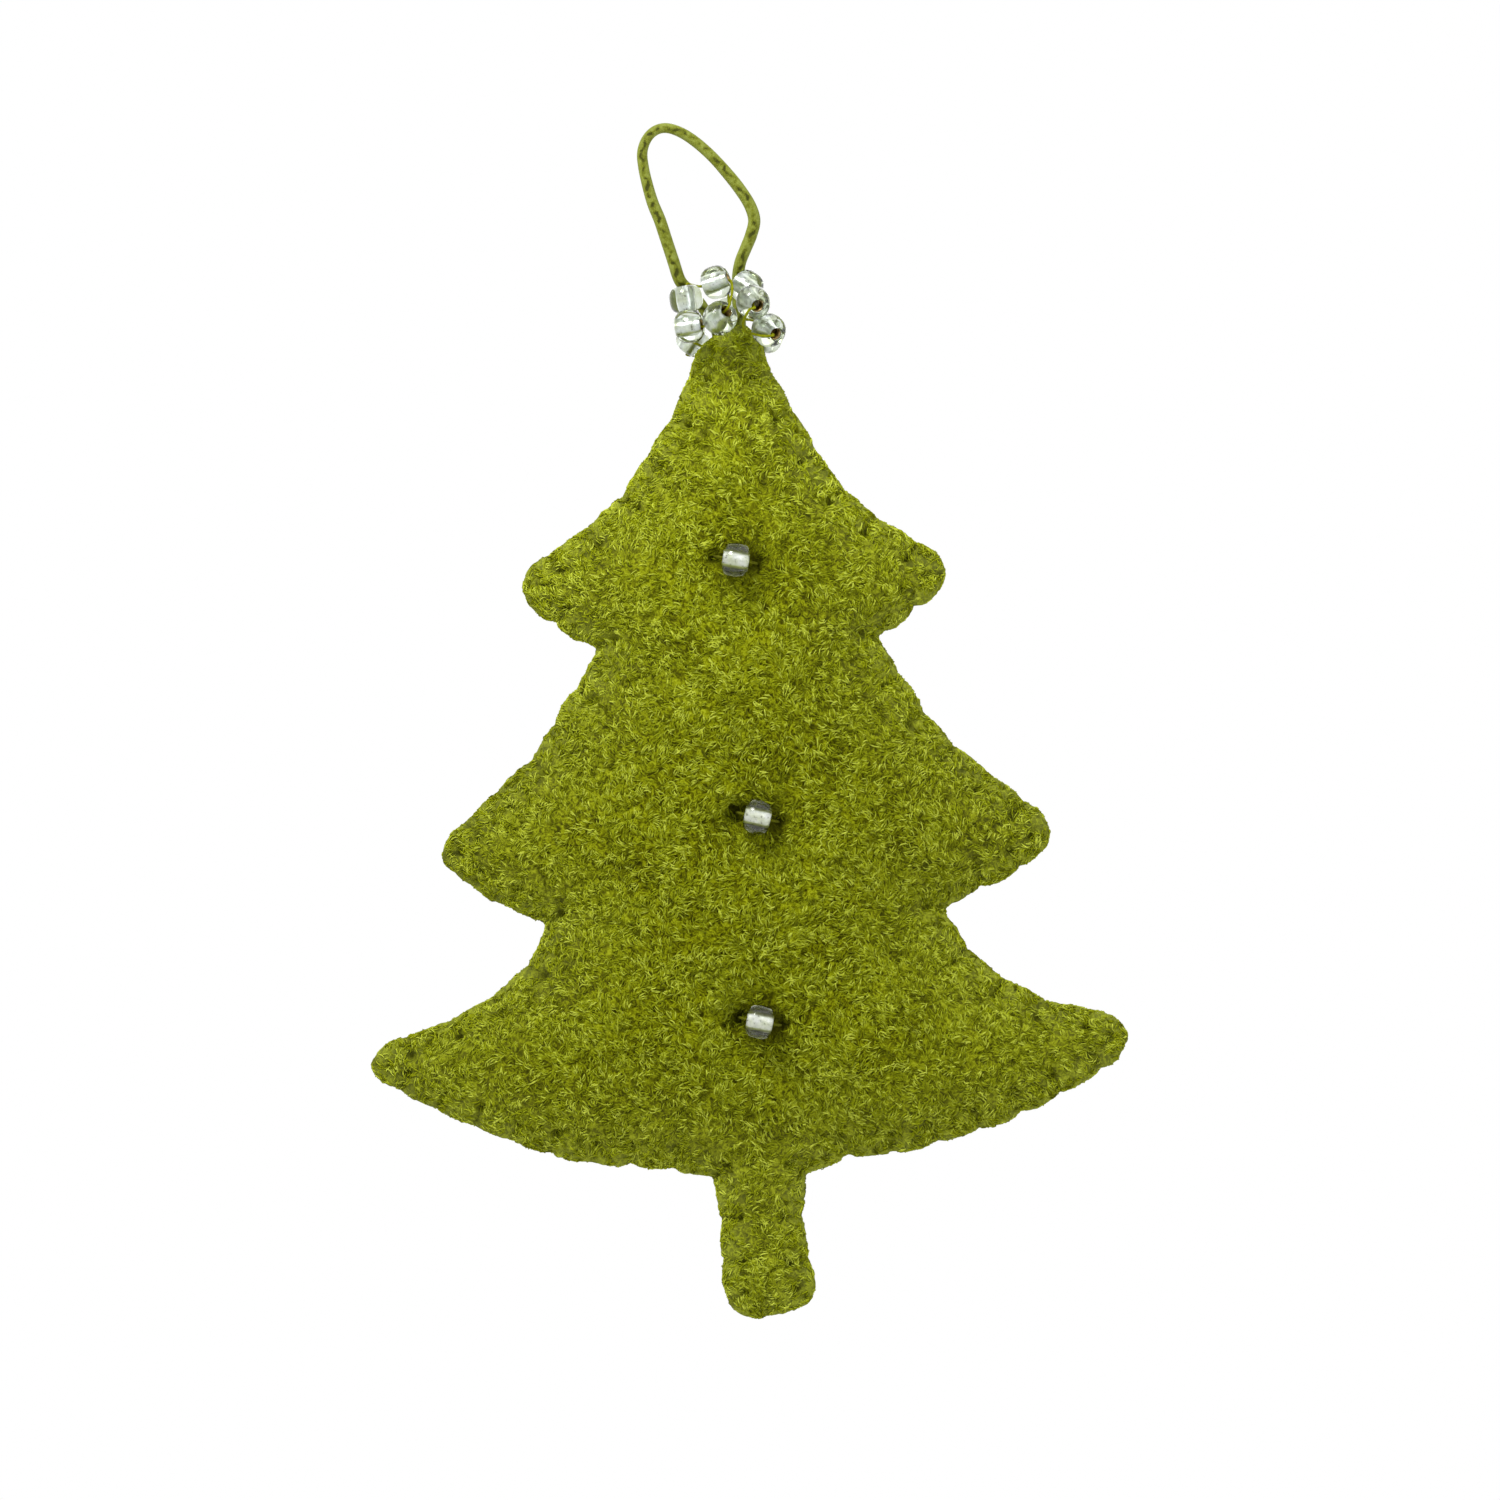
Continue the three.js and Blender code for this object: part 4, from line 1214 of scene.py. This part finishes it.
# A closed profile of radii and levels, turned round an axis through a centre.
def lathe(profile, axis, centre, warp=None):
    segments, count = beadStyle["segments"], len(profile)
    turned = Vector((0, 0, 1)).rotation_difference(Vector(axis)).to_matrix()
    points, faces = [], []
    for segment in range(segments):
        turn = 2 * math.pi * segment / segments
        for radius, along in profile:
            point = Vector((radius * math.cos(turn), radius * math.sin(turn), along))
            if warp:
                point = warp(point)
            points.append(np.array(turned @ point) + centre)
    for segment in range(segments):
        here, beside = segment * count, (segment + 1) % segments * count
        for k in range(count):
            after = (k + 1) % count
            faces.append((here + k, beside + k, beside + after, here + after))
    return points, faces


def glassProfile():
    style = beadStyle
    depth = style["radius"] - style["bore"]
    power = 2 / style["roundness"]
    profile = []
    for k in range(style["profile"] + 1):
        turn = math.pi * (k / style["profile"] - 0.5)
        along = style["half"] * math.copysign(abs(math.sin(turn)) ** power, turn)
        profile.append((style["bore"] + depth * max(0.0, math.cos(turn)) ** power, along))
    return profile + [(style["bore"], style["half"] * share) for share in style["inner"]]


# The bunch's three back beads lean in against the wool a little.
backBeads = ("tip_bead_h", "tip_bead_i", "tip_bead_j")


def seatedPlace(node):
    centre, axis = beadPlace(node)
    return centre - np.array([0, beadStyle["leanIn"] * (node in backBeads), 0]), axis


def makeBead(name, node, body, seed, glass):
    style = beadStyle
    centre, axis = seatedPlace(node)

    def warp(point):
        share = min(1.0, max(0.0, (math.hypot(point.x, point.y) - style["bore"]) / style["bore"]))
        uneven = noise.noise(point * 0.5 + Vector((seed * 9.0, 0, 0))) - style["wobbleLevel"]
        return point * (1 + share * style["wobble"] * uneven)

    bead = meshObject(name, *lathe(glassProfile(), axis, centre, warp))
    dress(bead, body, "glass_bead", glass)
    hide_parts(node)

    # The lining's outer side is bright and all of its other sides are like copper.
    outer, inner = style["bore"] + style["liningOut"], style["bore"] - style["liningIn"]
    half = style["liningHalf"]
    outside = [(outer, half * share) for share in (-1, -1 / 3, 1 / 3, 1)]
    profile = outside + [(inner, half), (inner, 0), (inner, -half)]
    lining = meshObject(name + "_lining", *lathe(profile, axis, centre))
    dress(lining, body, "bead_lining", silver, copper)
    for polygon in lining.data.polygons:
        polygon.material_index = 0 if polygon.index % len(profile) < len(outside) - 1 else 1


glass = glassMaterial("clearGlass", (0.56, 0.62, 0.4), (0.8, 0.86, 0.8), 0.22)
seatedGlass = glassMaterial("seatedGlass", (0.64, 0.69, 0.45), (0.89, 0.91, 0.83), 0.03)
silver = liningMaterial("silverLining", (0.93, 0.94, 0.98), (0.2, 0.2, 0.15), 0.32, 0.28)
copper = liningMaterial("boreCopper", (0.42, 0.3, 0.12), (0.1, 0.075, 0.02), 0.45, 0.35)
for order, name in enumerate(tiedBeads):
    makeBead(name + "_glass_bead", name + "_bead", "bead_" + name, order, seatedGlass)
for order, letter in enumerate("abcdefghij"):
    makeBead("tip_glass_bead_" + letter, "tip_bead_" + letter, "tree", 10 + order, glass)
print("beads made")

# The threads of the tied beads, knotted behind the back panel, where they lie on the wool. Places behind
# are shares of the way between the holes, or ways along the bore, with how far they clear the wool.
knotStyle = {
    "reach": (0.6, 0.36),
    "rise": 0.5,
    "clear": 0.62,
    "step": 0.15,
    "behind": ((0.85, 0.05), (0.6, 0.28), (0.3, 0.36), (0.08, 0.42)),
    "tailStart": ((0.2, 0.45, 0.0), (0.7, 0.3, 0.12)),
    "tail": ((1.0, 0.35), (1.35, 0.6), (1.4, 0.8), (1.15, 1.0)),
    "tailLength": 3.6,
    "tailClear": 0.34,
}


def makeTieThread(name, material):
    style, knot = threadStyle, knotStyle
    centre, axis = tiedBeads[name]
    reach, mouth = woolStyle["tieReach"], beadStyle["half"] + 0.15

    def at(run, y, drop=0.0):
        return (centre[0] + axis[0] * run, y, centre[2] + axis[2] * run - drop)

    def behind(run, clear, drop=0.0):
        x, _, z = at(run, 0, drop)
        return (x, heightAt(backSurface, 1, x, z) + clear, z)

    def halfWay(side):
        x, _, z = at(side * reach, 0)
        hole, backHole = heightAt(frontSurface, -1, x, z), heightAt(backSurface, 1, x, z)
        return [
            at(side * (mouth - 0.4), centre[1]),
            at(side * mouth, centre[1] + 0.15),
            at(side * (reach - 0.25), (centre[1] - hole) / 2),
            *(at(side * reach, y) for y in (-hole + 0.4, -hole + 1.2, backHole - 1.2, backHole - 0.3)),
            *(behind(side * reach * share, clear) for share, clear in knot["behind"]),
        ]

    solids = [threadTube(halfWay(-1)[::-1] + [at(0, centre[1])] + halfWay(1), style["tie"])]
    turns = coil(behind(0, knot["clear"]), *knot["reach"], knot["rise"])
    solids.append(threadTube(turns, style["tie"], knot["step"]))
    for side in (-1, 1):
        stops = [*knot["tailStart"], *((run, knot["tailClear"], drop) for run, drop in knot["tail"])]
        end = [behind(side * run, clear, drop * knot["tailLength"]) for run, clear, drop in stops]
        solids.append(threadTube(end, style["tie"]))
    threadObject(name + "_tie_thread", name + "_bead_thread", material, *solids)


for name in tiedBeads:
    makeTieThread(name, shadeDarkenedThread)

# The threads that string the bunch: places in millimetres from the middle of the tip's top edge,
# or a bead and the way through it. Each bead's direction says which way counts as forward.
tipRoutes = {
    "tip_thread_left": [
        (0, -0.55, -3.3), (0, -0.55, 0.6), ("a", -1), (-4.3, -1.9, 5.36), (-3.4, -2.7, 5.1), ("d", 1),
        (0.5, -5.4, 4.5), (0.2, -6.9, 3.05), ("c", -1), ("b", -1), (-5.6, -1.6, -0.4), (-4.2, -0.6, -1.2),
        (-2.6, 0, -2.0),
    ],
    "tip_thread_right": [
        (0, 0.55, -3.3), (0, 0.55, 0.6), (0.1, 0.3, 5.1), ("e", 1), ("f", 1), (2.4, -7.4, 2.1),
        (1.9, -6.9, 1.35), (1.6, -5.2, 0.5), (1.9, -4.0, -0.3), (2.7, -4.9, -0.6), (3.7, -5.6, -0.9),
        (4.75, -5.5, -0.9), ("g", -1), (1.9, -1.2, -0.6),
    ],
    "tip_thread_back": [
        (-2.2, 0.8, -3.3), (-2.8, 2.4, -3.1), (-3.8, 3.7, -2.6), ("i", -1), ("j", -1), ("h", -1),
        (3.5, 4.1, -3.2), (2.9, 2.8, -3.6), (2.2, 0.8, -3.9),
    ],
}
bunchDirections = {
    "a": (0.12, 0, -1), "b": (1, -0.3, 0.1), "c": (0.5, -0.7, 0.45), "d": (1, -0.25, 0.3),
    "e": (0.7, -0.3, -0.5), "f": (0.3, -0.85, -0.3), "g": (0.5, -0.75, -0.35), "h": (0.3, -0.4, 0.85),
    "i": (-0.6, 0.2, -0.8), "j": (-1, 0.1, 0.2),
}
tipKnot = {"reach": (0.5, 0.4), "rise": 0.45, "step": 0.12}


# A taut thread leans on the side of the bore that it comes from or goes to.
def leaning(toward, axis):
    across = toward - axis * (toward @ axis)
    return across / max(np.linalg.norm(across), 1e-6) * threadStyle["lean"]


def makeTipThread(node, steps, material):
    reach, inside = beadStyle["half"] + 0.18, beadStyle["half"] * 0.75
    stops = []
    for step in steps:
        if len(step) == 3:
            stops.append((fromTip(step), np.zeros(3)))
            continue
        letter, way = step
        centre, axis = seatedPlace("tip_bead_" + letter)
        stops.append((centre, axis * np.sign(axis @ np.array(bunchDirections[letter])) * way))
    route = []
    for k, (centre, axis) in enumerate(stops):
        if not axis.any():
            route.append(centre)
            continue
        first = leaning(stops[k - 1][0] + stops[k - 1][1] * reach - centre, axis)
        last = leaning(stops[k + 1][0] - stops[k + 1][1] * reach - centre, axis)
        route += [centre - axis * run + first for run in (reach, inside)]
        route += [centre + (first + last) / 2]
        route += [centre + axis * run + last for run in (inside, reach)]
    solids = [threadTube(route, threadStyle["tie"], threadStyle["fineStep"])]
    if node == "tip_thread_back":
        turns = coil(route[-2], *tipKnot["reach"], tipKnot["rise"])
        solids.append(threadTube(turns, threadStyle["tie"], tipKnot["step"]))
    threadObject(node + "_strand", node, material, *solids)


brightThread = threadMaterial("tipThread", "tipLight", "tipDark")
for node, steps in tipRoutes.items():
    makeTipThread(node, steps, brightThread)

# A pale floor that goes over into white away from the object, a white backdrop and soft light. Each
# light has its place and size in metres and its power in watts.
stageStyle = {
    "floorLevel": -250,
    "floorHalf": 6000,
    "floorColour": (0.82, 0.82, 0.82),
    "whiteFrom": 260,
    "whiteTo": 440,
    "ambient": 0.42,
    "lightsAimAt": (0.0066, 0, -0.07),
    "lights": {
        "keyLight": ((-0.27, -0.41, 0.52), 0.3, 4.6),
        "fillLight": ((1.1, -1.1, 0.1), 1.2, 6.5),
        "backLight": ((0.2, 1.3, 0.5), 1.2, 4.5),
    },
}


# One where the camera sees the surface itself, in a mirror or through glass, and nought elsewhere.
def seenDirectly(add):
    path = add("ShaderNodeLightPath").outputs
    seen = mathNode(add, "MAXIMUM", path["Is Camera Ray"], path["Is Glossy Ray"])
    return mathNode(add, "MAXIMUM", seen, path["Is Transmission Ray"])


def makeFloor():
    style = stageStyle
    half, level = style["floorHalf"], style["floorLevel"]
    corners = [(-half, -half, level), (half, -half, level), (half, half, level), (-half, half, level)]
    floor = meshObject("floor", corners, [(0, 1, 2, 3)], smooth=False)
    material, surface, add = shaderTree("paleFloor")
    grain = noiseNode(add, add("ShaderNodeTexCoord").outputs["Object"], 40, 3)
    pale = style["floorColour"]
    colour = rampNode(add, grain, (0, tuple(c * 0.98 for c in pale)), (1, pale))
    setLook(add, surface, colour, Roughness=0.9)
    far = add("ShaderNodeVectorMath", {0: placeInMm(add)}, operation="LENGTH").outputs["Value"]
    whiteness = rangeNode(add, far, style["whiteFrom"], style["whiteTo"])
    share = mathNode(add, "MULTIPLY", whiteness, seenDirectly(add))
    white = add("ShaderNodeEmission", {"Color": (1, 1, 1, 1), "Strength": 1.0})
    mixed = add("ShaderNodeMixShader", {0: share, 1: surface.outputs[0], 2: white.outputs[0]})
    fill(material.node_tree.nodes["Material Output"], {"Surface": mixed.outputs[0]})
    floor.data.materials.append(material)


def makeWorld():
    world = bpy.data.worlds.new("studio")
    scene.world = world
    world.use_nodes = True
    add = nodeMaker(world.node_tree)
    strength = rangeNode(add, seenDirectly(add), 0.0, 1.0, stageStyle["ambient"], 1.0)
    fill(world.node_tree.nodes["Background"], {"Color": (1, 1, 1, 1), "Strength": strength})


def makeLight(name, place, size, power):
    light = linked(name, bpy.data.lights.new(name, "AREA"))
    light.data.size = size
    light.data.energy = power
    light.location = Vector(place)
    aim = Vector(stageStyle["lightsAimAt"]) - light.location
    light.rotation_euler = aim.to_track_quat("-Z", "Y").to_euler()


makeFloor()
makeWorld()
for name, (place, size, power) in stageStyle["lights"].items():
    makeLight(name, place, size, power)
print("stage made")
